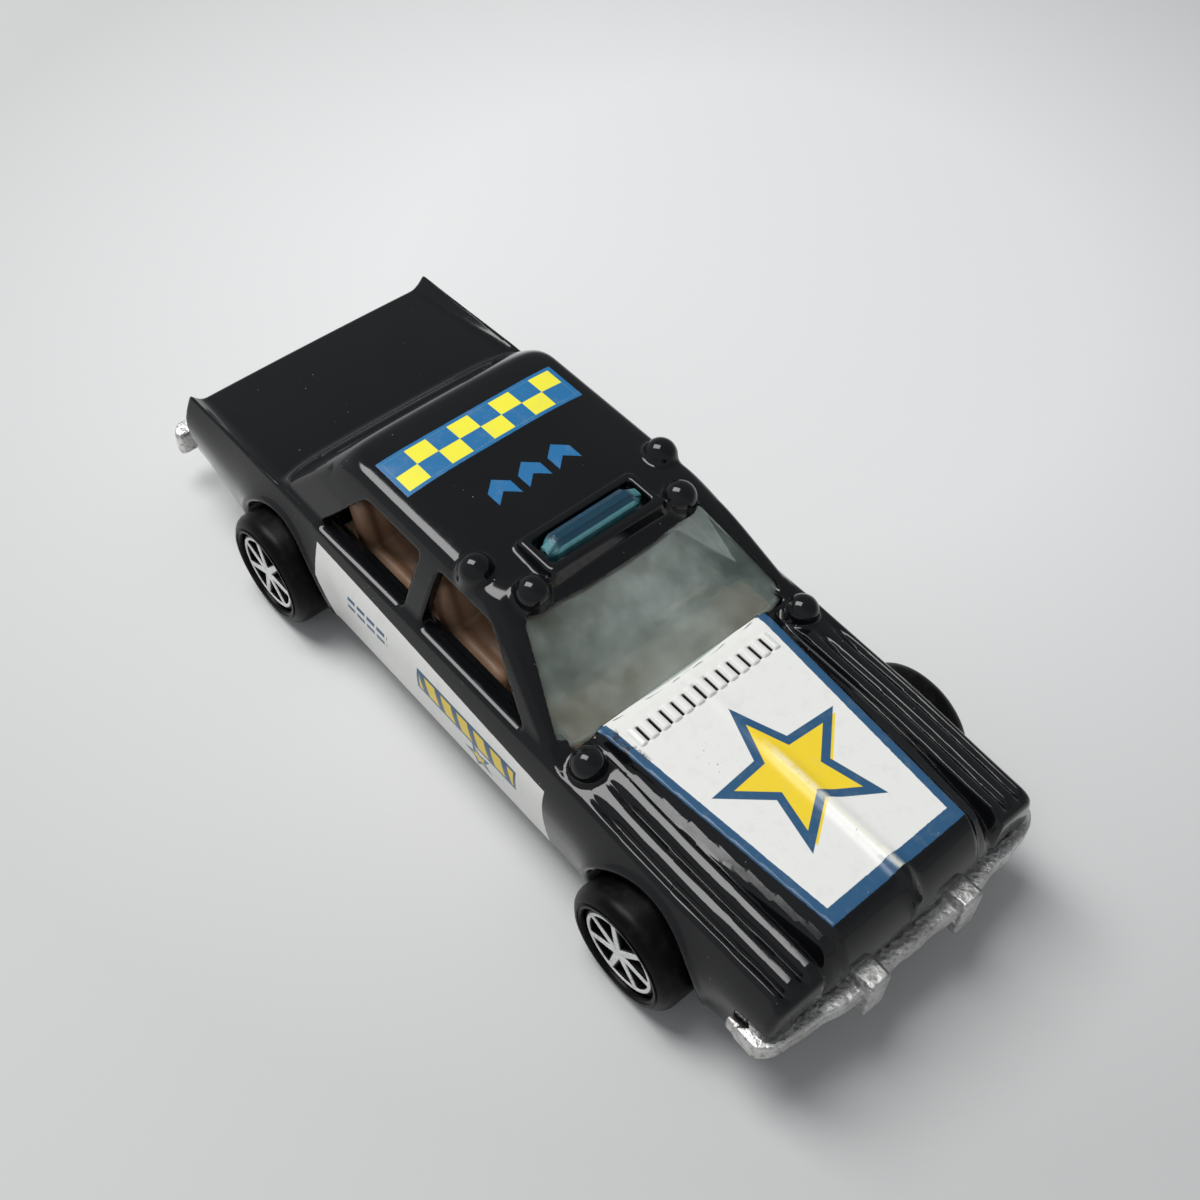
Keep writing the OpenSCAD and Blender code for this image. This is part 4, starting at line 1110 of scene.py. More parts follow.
@dataclass
class BodyShell:
    """Body casting: lower body, cabin, lamps and socket frame, hollowed and opened."""

    plan: CarPlan
    lens: LensSizes
    step: float = 0.21
    triangles: int = 190000
    dome_r: float = 1.3
    dome_post: float = 1.6
    arch_lip: float = 0.16
    well_y: float = 10.3
    well_z: float = 7.1
    tray_z: float = 3.65
    reveal: float = 2.6
    rear_pane_y: float = 8.5
    rear_pane_z: float = 15.7
    rear_pane_half: float = 2.2
    side_post: float = 2.2
    grille_half: float = 10.5
    grille_z: float = 8.7
    slot_half: tuple[float, float] = (1.25, 4.6)
    socket_half: tuple[float, float] = (1.95, 5.3)
    socket_h: float = 2.2
    socket_draft: float = 0.25
    vent_slits: int = 12
    piece: Piece = Piece("body_casting", "car", "enamel", ("body_shell",))

    def lower(self, x: Array, y: Array, z: Array) -> Array:
        """Lower body: barrel sides, shaped top, swept lower edge, rounded nose and tail."""
        p = self.plan
        s = np.abs(y)
        x0 = p.straight(x, y)
        low, high = p.bottom_z(x), p.shoulder_z(x)
        t = clip((z - low) / (high - low))
        wide = p.body_w / 2.0 - p.taper(x)
        under = mix(wide - p.sill_tuck, wide, np.sin(np.minimum(t / p.waist, 1.0) * math.pi / 2.0))
        fall = np.cos(clip((t - p.waist) / (1.0 - p.waist)) * math.pi / 2.0)
        over = mix(p.shoulder_y(x), wide, fall)
        swell = p.arch_flare * hill(p.arch_distance(x, z) - 0.1, 1.3) * 4.0 * t * (1.0 - t)
        lip = self.arch_lip * hill(p.arch_distance(x, z) - 0.4, 0.28)
        side = s - np.where(t < p.waist, under, over) - swell - lip
        gap = 0.05
        slope = (p.top_z(x0, s + gap) - p.top_z(x0, s - gap)) / (2.0 * gap)
        top = (z - p.top_z(x0, s)) / np.sqrt(1.0 + slope * slope)
        d = cut(side, top, 0.3)
        d = cut(d, low - z, 0.35)
        d = cut(d, x0 - p.nose_x, 0.8)
        return cut(d, p.tail_x - x0, 0.45)

    def cabin(self, x: Array, y: Array, z: Array) -> Array:
        """Cabin: leaning front, back and sides, roof with a tight edge, 1 − exp(−inset), and a low crown."""
        p = self.plan
        front = p.screen_x(z, y) - x
        back = x - p.backlight_at(z, y)
        side = p.cabin_y(z) - np.abs(y)
        inset = join(join(front, back, 1.0), side, 1.6)
        u = clip(inset / p.crown_reach)
        edge = np.exp(-np.maximum(inset, 0.0) / p.crown_edge)
        height = p.roof_edge_z + p.crown_step * (1.0 - edge) + p.crown_rise * (1.0 - (1.0 - u) ** 2)
        steep = p.crown_step / p.crown_edge * edge + 2.0 * p.crown_rise / p.crown_reach * (1.0 - u)
        roof = (z - height) / np.sqrt(1.0 + steep * steep)
        lean_front = 1.0 / math.hypot(1.0, p.windshield_run / p.glass_h)
        lean_back = 1.0 / math.hypot(1.0, p.backlight_run / p.glass_h)
        d = cut(-front * lean_front, -back * lean_back, 0.4)
        return cut(cut(d, -side * 0.97, 0.5), roof, 0.6)

    def dome(self, x: Array, y: Array, z: Array, at: Sequence[float]) -> Array:
        """Lamp: half a ball on a short post, both sides of the car.

        Args:
            x, y, z: Places.
            at: Station, distance from the centre line, height of the top.

        Returns:
            The field.
        """
        across = np.hypot(x - at[0], np.abs(y) - at[1])
        up = z - (at[2] - self.dome_r)
        ball = np.hypot(across, np.maximum(up, 0.0)) - self.dome_r
        return cut(ball, -up - self.dome_post, 0.1)

    def spine(self, x: Array, y: Array, z: Array) -> Array:
        """Ridge down the middle of the nose, which falls less than the panel on both sides of it."""
        p = self.plan
        run = clip((x - p.panel_front_x + 0.6) / 2.4)
        d = cut(np.abs(y) - 0.4, z - p.hood_z - 0.2 + 1.5 * run**1.6, 0.3)
        d = cut(d, x - p.nose_x - 0.5, 0.4)
        return cut(d, np.maximum(p.panel_front_x - 1.5 - x, p.hood_z - 4.0 - z), 0.2)

    def openings(self, x: Array, y: Array, z: Array) -> list[tuple[Array, float]]:
        """Everything that is cut from the casting, each with its edge radius."""
        p = self.plan
        s = np.abs(y)
        sill, header = p.belt_z + 0.05, p.roof_edge_z + 0.15
        screen = cut(s - p.pane_y(z), np.abs(z - (sill + header) / 2.0) - (header - sill) / 2.0, 0.6)
        ahead = x - p.screen_x(z, y) - clip((z - sill - 0.35) / 0.3)
        screen = cut(screen, np.maximum(p.screen_x(z, y) - self.reveal - x, ahead), 0.1)
        rear = cut(s - self.rear_pane_y, np.abs(z - self.rear_pane_z) - self.rear_pane_half, 1.0)
        astern = p.backlight_at(z, y) - x - clip((z - 13.6) / 0.3)
        rear = cut(rear, np.maximum(x - p.backlight_at(z, y) - self.reveal, astern), 0.1)
        foot, head = p.belt_z - 0.3, p.roof_edge_z - 0.3
        w = (z - foot) / (head - foot)
        sash = np.abs(z - (foot + head) / 2.0) - (head - foot) / 2.0
        mid = p.roof_mid_x + 2.2 + 0.5 * w
        corner = mix(p.cowl_x - 4.2, p.roof_front_x - 2.7, w)
        front_pane = cut(cut((x - corner) * 0.7, mid - x, 0.5), sash, 0.6)
        rear_edge = p.backlight_x + 5.9 + 4.6 * w
        rear_pane = cut(cut(x - (mid - self.side_post), (rear_edge - x) * 0.75, 0.5), sash, 0.6)
        panes = cut(np.minimum(front_pane, rear_pane), 5.0 - s, 0.1)
        arches = cut(p.arch_distance(x, z), self.well_y - 0.1 - s, 0.1)
        wide = self.grille_half
        grille = block(x, y, z, (p.nose_x - 3.0, -wide, -1.0), (p.nose_x + 2.0, wide, self.grille_z), 0.3)
        slot_x, slot_y = self.slot_half
        slot = block(x, y, z, (self.lens.x - slot_x, -slot_y, p.roof_edge_z - 0.9),
                     (self.lens.x + slot_x, slot_y, p.roof_edge_z + 6.0), 0.3)
        room_front, room_rear = p.cowl_x - 0.7, p.backlight_x + 3.5
        well = block(x, y, z, (room_rear, -self.well_y, self.well_z),
                     (room_front, self.well_y, p.belt_z), 0.3)
        hollow = cut(self.cabin(x, y, z) + p.roof_wall, p.belt_z - 0.6 - z, 0.1)
        tray = block(x, y, z, (p.tail_x + 2.5, -self.well_y, -1.0),
                     (p.nose_x - 1.7, self.well_y, self.tray_z), 0.2)
        room = join(hollow, join(well, tray, 0.1), 0.1)
        half = self.vent_slits * p.vent_pitch / 2.0 + 0.05
        vent = block(x, y, z, (p.cowl_x + 0.85, -half, p.hood_z - 0.9),
                     (p.cowl_x + 2.35, half, p.hood_z + 2.0), 0.1)
        return [(screen, 0.3), (rear, 0.35), (panes, 0.3), (arches, 0.25), (grille, 0.3), (slot, 0.25),
                (room, 0.1), (vent, 0.05)]

    def formula(self, x: Array, y: Array, z: Array) -> Array:
        """The whole casting: joined forms with fillets, less its openings with rounded edges."""
        p = self.plan
        s = np.abs(y)
        upper = cut(self.cabin(x, y, z), p.belt_z - 1.2 - z, 0.1)
        d = join(self.lower(x, y, z), upper, 0.45)
        up = p.roof_edge_z + self.socket_h - z
        frame_x = np.abs(x - self.lens.x) - self.socket_half[0] - self.socket_draft * up
        frame_y = s - self.socket_half[1] - self.socket_draft * up
        socket = cut(cut(frame_x, frame_y, 0.6), -up, 0.3)
        socket = cut(socket, p.roof_edge_z + 0.4 - z, 0.1)
        d = join(d, socket, 0.3)
        d = join(d, self.spine(x, y, z), 0.25)
        roof_top = p.roof_edge_z + 2.5
        spots = [(p.roof_front_x - 2.1, 6.9, roof_top), (p.roof_front_x - 6.2, 8.7, roof_top),
                 (p.cowl_x + 1.0, 10.35, p.belt_z + 1.6)]
        for spot in spots:
            d = join(d, self.dome(x, y, z, spot), 0.5)
        for opening, r in self.openings(x, y, z):
            d = cut(d, -opening, r)
        return d

    def build(self, material: bpy.types.Material) -> list[bpy.types.Object]:
        """Meshes the casting and lays the finely slotted cowl vent on it.

        Args:
            material: The enamel.

        Returns:
            The casting and the vent.
        """
        p = self.plan
        low = (p.tail_x - 1.2, -p.body_w / 2.0 - 1.1, p.sill_z - 1.2)
        high = (p.nose_x + 1.3, p.body_w / 2.0 + 1.1, p.roof_edge_z + 3.4)
        mesher = FieldMesher(low, high, self.step)
        points, quads, _ = mesher.run(self.formula)
        shell = mesh_from(self.piece.name, points, quads)
        mesher.thin(shell, self.formula, self.triangles)
        vent = Piece("cowl_vent", "car", "enamel", ())
        return [self.piece.dress(shell, material), vent.dress(self.cowl_vent(), material)]

    def cowl_vent(self) -> bpy.types.Object:
        """Vent: hood height plus rounded ribs, less narrow slits, sunk under the hood at its border.

        Returns:
            The strip, a height over a grid of station and distance across, with a flat underside.
        """
        p = self.plan
        slits, pitch = self.vent_slits, p.vent_pitch
        half = slits * pitch / 2.0 + 0.35
        x = np.linspace(p.cowl_x + 0.55, p.cowl_x + 2.75, 45)[:, None]
        y = np.linspace(-half, half, 560)[None, :]
        middle = p.cowl_x + p.vent_ahead
        near = np.abs((y / pitch + slits / 2.0) % 1.0 - 0.5) * pitch
        along = rise(0.95 - np.abs(x - middle), 0.0, 0.22)
        rib = 0.2 * rise(near, 0.06, 0.4) * along
        slit = 0.34 * rise(0.12 - near, 0.0, 0.05) * rise(0.72 - np.abs(x - middle), 0.0, 0.08)
        edge = np.minimum(half - np.abs(y), 1.1 - np.abs(x - middle))
        sink = 0.14 * (1.0 - rise(edge, 0.0, 0.5))
        z = p.top_z(x, np.abs(y)) + 0.015 + rib - slit - sink
        outer = np.stack([x + 0 * y, y + 0 * x, z], -1)
        inner = np.stack([x + 0 * y, y + 0 * x, 0 * z + p.hood_z - 0.6], -1)
        return slab("cowl_vent", outer, inner)


@dataclass
class BasePlate:
    """Base casting: floor, grille and both bumpers, with a rough cast skin."""

    plan: CarPlan
    front_x: float
    rear_x: float
    step: float = 0.27
    base_z: float = 2.0
    base_h: float = 1.5
    base_half: tuple[float, float] = (11.45, 10.15)
    notch: float = 5.65
    bar_z: float = 6.85
    bar_half_h: float = 0.85
    bar_depth: float = 1.9
    bar_half: float = 13.65
    wrap_y: float = 13.35
    wrap_l: float = 4.7
    rider_y: tuple[float, float] = (3.65, 5.55)
    rider_z: tuple[float, float] = (4.6, 8.7)
    rear_half: float = 13.3
    rear_z: tuple[float, float] = (3.9, 6.4)
    rear_depth: float = 1.7
    grille_half: float = 10.3
    bar_pitch: float = 1.26
    headlamp_y: float = 7.8
    headlamp_z: float = 6.02
    headlamp_r: float = 1.8
    saddle_y: float = 9.05
    saddle_r: float = 1.2
    wire_r: float = 0.56
    rivet_gap: float = 7.4
    piece: Piece = Piece("base_casting", "car", "zinc", ("base_plate",))

    def front_bumper(self, x: Array, y: Array, z: Array) -> Array:
        """Front bumper: a bar swept back to wrapped ends, uneven along its edge, with two overriders."""
        p = self.plan
        s = np.abs(y)
        wave = np.sin(1.3 * y + 0.6) * np.sin(0.57 * y - 0.4)
        line = self.front_x - 0.12 - 0.75 * ease((s - 4.8) / 8.1) - 0.12 * wave
        line = line - 0.28 * np.maximum(s - 11.7, 0.0) ** 2
        level = np.abs(z - self.bar_z)
        bar = cut(cut(x - line, line - self.bar_depth - x, 0.25), level - self.bar_half_h, 0.2)
        bar = cut(bar, s - self.bar_half, 0.35)
        tip_x = self.front_x - self.wrap_l
        wrap = cut(cut(np.abs(s - self.wrap_y) - 0.28, level - 0.7, 0.25), tip_x - x, 0.3)
        wrap = cut(wrap, x - (self.front_x - 1.9), 0.4)
        bar = join(bar, wrap, 0.35)
        (rider_in, rider_out), (rider_low, rider_high) = self.rider_y, self.rider_z
        rider = block(x, s, z, (self.front_x - 2.4, rider_in, rider_low),
                      (self.front_x + 0.5, rider_out, rider_high), 0.18)
        shelf = block(x, y, z, (p.nose_x - 2.1, -9.4, 6.3), (self.front_x - 1.1, 9.4, 7.45), 0.3)
        return join(join(bar, rider, 0.2), shelf, 0.15)

    def rear_bumper(self, x: Array, y: Array, z: Array) -> Array:
        """Rear bumper: a deep bar with cut corners on a shelf from the floor."""
        s = np.abs(y)
        half, (low, high) = self.rear_half, self.rear_z
        bar = block(x, y, z, (self.rear_x, -half, low), (self.rear_x + self.rear_depth, half, high), 0.45)
        bar = cut(bar, (s - half) + (self.rear_x + 0.8 - x), 0.4)
        shelf = block(x, y, z, (self.rear_x + 1.4, -9.0, low), (self.rear_x + 9.0, 9.0, 5.1), 0.3)
        return join(bar, shelf, 0.2)

    def grille(self, x: Array, y: Array, z: Array) -> Array:
        """Grille wall with four bars between two round headlamps."""
        p = self.plan
        s = np.abs(y)
        face = p.nose_x - 1.85
        half, spacing = self.grille_half, self.bar_pitch
        wall = block(x, y, z, (face - 1.0, -half, self.base_z), (face, half, 8.55), 0.15)
        wave = np.abs((z - 3.5) / spacing % 1.0 - 0.5) * spacing - 0.25
        bars = cut(cut(wave, x - face - 0.5, 0.1), cut(s - 5.4, face - 0.3 - x, 0.1), 0.1)
        bars = cut(bars, np.abs(z - 6.0) - 2.4, 0.1)
        lamp_r = np.hypot(s - self.headlamp_y, z - self.headlamp_z)
        bulge = 0.35 * np.sqrt(np.maximum(1.0 - (lamp_r / 1.5) ** 2, 0.0))
        lamp = cut(lamp_r - self.headlamp_r, x - face - 0.45 - bulge + 0.25 * hill(lamp_r - 1.55, 0.12), 0.15)
        lamp = cut(lamp, face - 0.3 - x, 0.1)
        return join(join(wall, bars, 0.08), lamp, 0.1)

    def formula(self, x: Array, y: Array, z: Array) -> Array:
        """Floor with wheel notches, axle saddles and rivet recesses, joined to grille and bumpers."""
        p = self.plan
        s = np.abs(y)
        low, high = self.base_z, self.base_z + self.base_h
        wide, narrow = self.base_half
        middle = block(x, y, z, (p.rear_axle_x + self.notch, -wide, low),
                       (p.front_axle_x - self.notch, wide, high), 0.25)
        whole = block(x, y, z, (p.tail_x + 2.65, -narrow, low), (p.nose_x - 2.85, narrow, high), 0.25)
        d = join(middle, whole, 0.2)
        ribs = cut(np.abs(np.abs(x - 2.6) - 6.0) - 0.25, s - 8.0, 0.2)
        d = cut(d, -cut(ribs, z - self.base_z - 0.25, 0.1), 0.15)
        for station in (p.front_axle_x, p.rear_axle_x):
            round_r = np.hypot(x - station, np.maximum(z - p.axle_z, 0.0)) - self.saddle_r
            saddle = cut(cut(round_r, np.abs(s - self.saddle_y) - 1.0, 0.15), self.base_z + 0.2 - z, 0.1)
            d = join(d, saddle, 0.15)
            d = cut(d, self.wire_r - np.hypot(x - station, z - p.axle_z), 0.05)
        for station in self.rivet_stations():
            r = np.hypot(x - station, y)
            d = cut(d, -cut(r - 2.2, z - self.base_z - 0.75, 0.1), 0.15)
        d = join(d, self.grille(x, y, z), 0.1)
        skin = np.maximum(rise(x, p.nose_x - 1.2, p.nose_x - 0.2), rise(-x, -p.tail_x, 0.8 - p.tail_x))
        bumpers = np.minimum(self.front_bumper(x, y, z), self.rear_bumper(x, y, z))
        bumpers = bumpers + skin * (0.016 * lumps(x, y, z, 1.7) + 0.012 * lumps(y, z, x, 0.8))
        return join(d, bumpers, 0.12)

    def build(self, material: bpy.types.Material) -> bpy.types.Object:
        """Meshes the base casting."""
        low = (self.rear_x - 0.8, -14.6, self.base_z - 0.8)
        high = (self.front_x + 0.9, 14.6, 9.6)
        points, quads, normals = FieldMesher(low, high, self.step).run(self.formula)
        return self.piece.dress(mesh_from(self.piece.name, points, quads, normals), material)

    def rivet_stations(self) -> tuple[float, float]:
        """Stations of the front and the rear rivet, outside the axles."""
        return self.plan.front_axle_x + self.rivet_gap, self.plan.rear_axle_x - self.rivet_gap

    def rivets(self, material: bpy.types.Material) -> list[bpy.types.Object]:
        """Turns the spread ends of the two body posts, seen in the recesses of the base.

        Args:
            material: The bare zinc.

        Returns:
            The front and the rear rivet.
        """
        made = []
        for name, x in zip(("front_rivet", "rear_rivet"), self.rivet_stations()):
            r = np.array([0.0, 0.35, 0.6, 1.0, 1.5, 1.85, 2.0, 1.95, 1.3, 1.3])
            z = np.array([0.42, 0.36, 0.2, 0.14, 0.16, 0.22, 0.4, 0.75, 0.8, 2.4]) + self.base_z
            points, quads = turned(r, z, 48)
            obj = mesh_from(name, points + (x, 0.0, 0.0), quads[:, ::-1])
            made.append(Piece(name, "car", "zinc", ()).dress(obj, material))
        return made


def turned(r: Array, h: Array, steps: int) -> tuple[Array, Array]:
    """Surface of a profile turned about Z: radius and height along it, carried round a circle.

    Args:
        r: Radii along the profile; the first may be 0.
        h: Heights along the profile.
        steps: Points round the circle.

    Returns:
        Points and quads.
    """
    a = np.linspace(0.0, 2.0 * math.pi, steps, endpoint=False)[None, :]
    points = np.stack([r[:, None] * np.cos(a), r[:, None] * np.sin(a), h[:, None] + 0.0 * a], -1)
    return points.reshape(-1, 3), grid_quads(len(r), steps, wrap_columns=True)


@dataclass
class WindowUnit:
    """Clear moulding: one sheet from the windshield over the roof pane to the rear window."""

    plan: CarPlan
    sunk: float = 0.5
    thickness: float = 0.7
    overlap: float = 0.3
    lean: float = 1.25
    rows: int = 91
    columns: int = 41
    piece: Piece = Piece("window_moulding", "car", "clear_plastic", ("window_unit",))

    def sheet(self, depth: float) -> Array:
        """Places on the sheet at a depth under the cabin's skin.

        The first parameter runs up the windshield, along under the roof and down the rear window,
        the second across the car.

        Args:
            depth: Depth below the skin, in mm.

        Returns:
            Array of rows, columns, 3.
        """
        p = self.plan
        t = np.linspace(0.0, 3.0, self.rows)[:, None]
        u = np.linspace(-1.0, 1.0, self.columns)[None, :]
        foot, head = p.belt_z - 0.4, p.roof_edge_z + 0.12 - depth * 0.5
        up, over, down = clip(t), clip(t - 1.0), clip(t - 2.0)
        z = foot + (head - foot) * (up - down) + 0.0 * u
        y = u * (p.pane_y(z) + self.overlap)
        front = p.screen_x(z, y) - depth * self.lean
        rear = p.backlight_at(z, y) + depth * self.lean
        return np.stack([mix(front, rear, over), y, z], -1)

    def build(self, material: bpy.types.Material) -> bpy.types.Object:
        """Joins the outer and inner sheets at their borders into one closed moulding."""
        outer, inner = self.sheet(self.sunk), self.sheet(self.sunk + self.thickness)
        return self.piece.dress(slab(self.piece.name, outer, inner), material)


def outward(obj: bpy.types.Object) -> None:
    """Turns a closed mesh's faces outwards, by the sign of its volume.

    Args:
        obj: A piece whose mesh has no open border.
    """
    mesh = obj.data
    mesh.calc_loop_triangles()
    corners = np.zeros(len(mesh.loop_triangles) * 3, np.int32)
    mesh.loop_triangles.foreach_get("vertices", corners)
    co = np.zeros(len(mesh.vertices) * 3)
    mesh.vertices.foreach_get("co", co)
    a, b, c = co.reshape(-1, 3)[corners.reshape(-1, 3)].transpose(1, 0, 2)
    if np.einsum("ij,ij->i", a, np.cross(b, c)).sum() < 0.0:
        mesh.flip_normals()


@dataclass
class LightBarLens:
    """Blue prism in the socket on the roof."""

    sizes: LensSizes
    draw: float = 0.55
    edge: float = 0.12
    shoulder: float = 0.16
    ridge_half: tuple[float, float] = (0.3, 0.42)
    ridge_h: float = 0.13
    piece: Piece = Piece("light_bar_prism", "car", "lens_plastic", ("light_bar_lens",))

    def build(self, material: bpy.types.Material) -> bpy.types.Object:
        """Closed loft: rounded-corner sections that draw in over the bevels, with a low ridge along the top.

        Args:
            material: The lens plastic.

        Returns:
            The prism.
        """
        s = self.sizes
        half_x, half_y = s.width / 2.0, s.length / 2.0
        taper = np.linspace(-half_y + self.edge, -half_y + 1.1, 10)
        middle = np.linspace(-half_y + 1.3, half_y - 1.3, 24)
        y = np.concatenate([[-half_y], taper, middle, -taper[::-1], [half_y]])[:, None]
        end = clip(half_y - np.abs(y))
        top = s.top_z - self.draw * (1.0 - end)
        wide = half_x - self.draw * (1.0 - end) ** 1.5
        flat = 0.0 * y
        bevel_z = top - s.bevel
        side_x = np.concatenate([wide, wide, wide - self.edge, wide - s.bevel, flat + self.ridge_half[1],
                                 flat + self.ridge_half[0]], 1)
        side_z = np.concatenate([flat + s.foot_z, bevel_z - 0.08, bevel_z + 0.08, top - self.shoulder,
                                 top - self.ridge_h, top], 1)
        x = np.concatenate([-side_x, side_x[:, ::-1]], 1) + s.x
        z = np.concatenate([side_z, side_z[:, ::-1]], 1)
        rows, columns = x.shape
        points = np.stack([x, y + 0 * x, z], -1).reshape(-1, 3)
        quads = grid_quads(rows, columns, wrap_columns=True)
        ends = []
        for row in (0, rows - 1):
            ring = row * columns + np.arange(columns)
            points = np.concatenate([points, points[ring].mean(0, keepdims=True)])
            ends.append(cap_quads(ring if row else ring[::-1], len(points) - 1))
        obj = mesh_from(self.piece.name, points, np.concatenate([quads, *ends]))
        outward(obj)
        obj.data.polygons.foreach_set("use_smooth", np.zeros(len(obj.data.polygons), bool))
        bevel = obj.modifiers.new("edges", "BEVEL")
        bevel.width = 0.05 * METRE
        bevel.segments = 2
        return self.piece.dress(obj, material)


@dataclass
class SeatTub:
    """Tan moulding: floor, walls, two bench seats with pleats, dashboard and steering wheel."""

    plan: CarPlan
    floor_z: float = 7.4
    half: float = 10.0
    step: float = 0.24
    wall_h: float = 2.6
    wall: float = 0.55
    floor_h: float = 0.8
    seat_h: float = 3.7
    seat_l: float = 6.0
    pleat_pitch: float = 2.1
    pleat_h: float = 0.32
    back_rake: float = 0.26
    back_half: tuple[float, float] = (1.1, 4.0)
    dash_l: float = 4.0
    dash_h: float = 2.8
    wheel_y: float = 4.6
    wheel_r: float = 2.2
    wheel_tilt: float = 28.0
    piece: Piece = Piece("seat_moulding", "car", "tan_plastic", ("interior_tub",))

    def bench(self, x: Array, y: Array, z: Array, at: float) -> Array:
        """Bench: cushion and raked back, both padded and drawn in at pleats along the car.

        Args:
            x, y, z: Places.
            at: Station of the fold between cushion and back.

        Returns:
            The field.
        """
        seat_top, side = self.floor_z + self.seat_h, self.half - 0.1
        pleat = self.pleat_h * np.abs(np.cos(math.pi * y / self.pleat_pitch)) ** 4
        cushion = block(x, y, z, (at - 1.0, -side, self.floor_z), (at + self.seat_l, side, seat_top), 1.2)
        lean = x - at + (z - seat_top) * self.back_rake
        thick, tall = self.back_half
        back = cut(np.abs(lean + 1.0) - thick, np.abs(z - self.floor_z - 3.9) - tall, 1.1)
        back = cut(back, np.abs(y) - side, 1.0)
        return join(cushion, back, 0.35) + pleat

    def formula(self, x: Array, y: Array, z: Array) -> Array:
        """Tub walls round two benches, a dashboard and a wheel on its column."""
        p = self.plan
        front, rear = p.cowl_x - 0.9, p.backlight_x + 3.75
        outer, inner = self.half + 0.15, self.half - self.wall
        shell = block(x, y, z, (rear, -outer, self.floor_z), (front, outer, self.floor_z + self.wall_h), 0.3)
        inside = block(x, y, z, (rear - 1.0, -inner, self.floor_z + self.floor_h),
                       (front + 1.0, inner, p.belt_z + 3.0), 0.3)
        d = cut(shell, -inside, 0.15)
        mid = p.roof_mid_x + 2.4
        for at in (mid + 0.8, p.backlight_x + 9.55):
            d = join(d, self.bench(x, y, z, at), 0.15)
        top = p.belt_z - 0.7
        dash = block(x, y, z, (front - self.dash_l, 0.2 - self.half, top - self.dash_h),
                     (front, self.half - 0.2, top), 0.6)
        d = join(d, dash, 0.2)
        u, v, w = x - (front - self.dash_l - 1.1), y - self.wheel_y, z - (top - 0.4)
        tilt = math.radians(self.wheel_tilt)
        out = u * math.cos(tilt) - w * math.sin(tilt)
        up = u * math.sin(tilt) + w * math.cos(tilt)
        radius = np.hypot(v, up)
        rim = np.hypot(radius - self.wheel_r, out) - 0.27
        off = np.minimum(np.abs(v), np.abs(up) + 4.0 * (up > 0))
        spokes = cut(np.hypot(out, off) - 0.24, radius - self.wheel_r, 0.1)
        column = cut(np.hypot(v, w + u * 0.5) - 0.45, np.abs(u - 1.2) - 1.4, 0.2)
        return join(d, join(join(rim, spokes, 0.15), column, 0.15), 0.1)

    def build(self, material: bpy.types.Material) -> bpy.types.Object:
        """Meshes the seat moulding."""
        p = self.plan
        low = (p.backlight_x + 2.6, -10.6, self.floor_z - 0.7)
        high = (p.cowl_x - 0.2, 10.6, self.floor_z + 8.4)
        points, quads, normals = FieldMesher(low, high, self.step).run(self.formula)
        return self.piece.dress(mesh_from(self.piece.name, points, quads, normals), material)


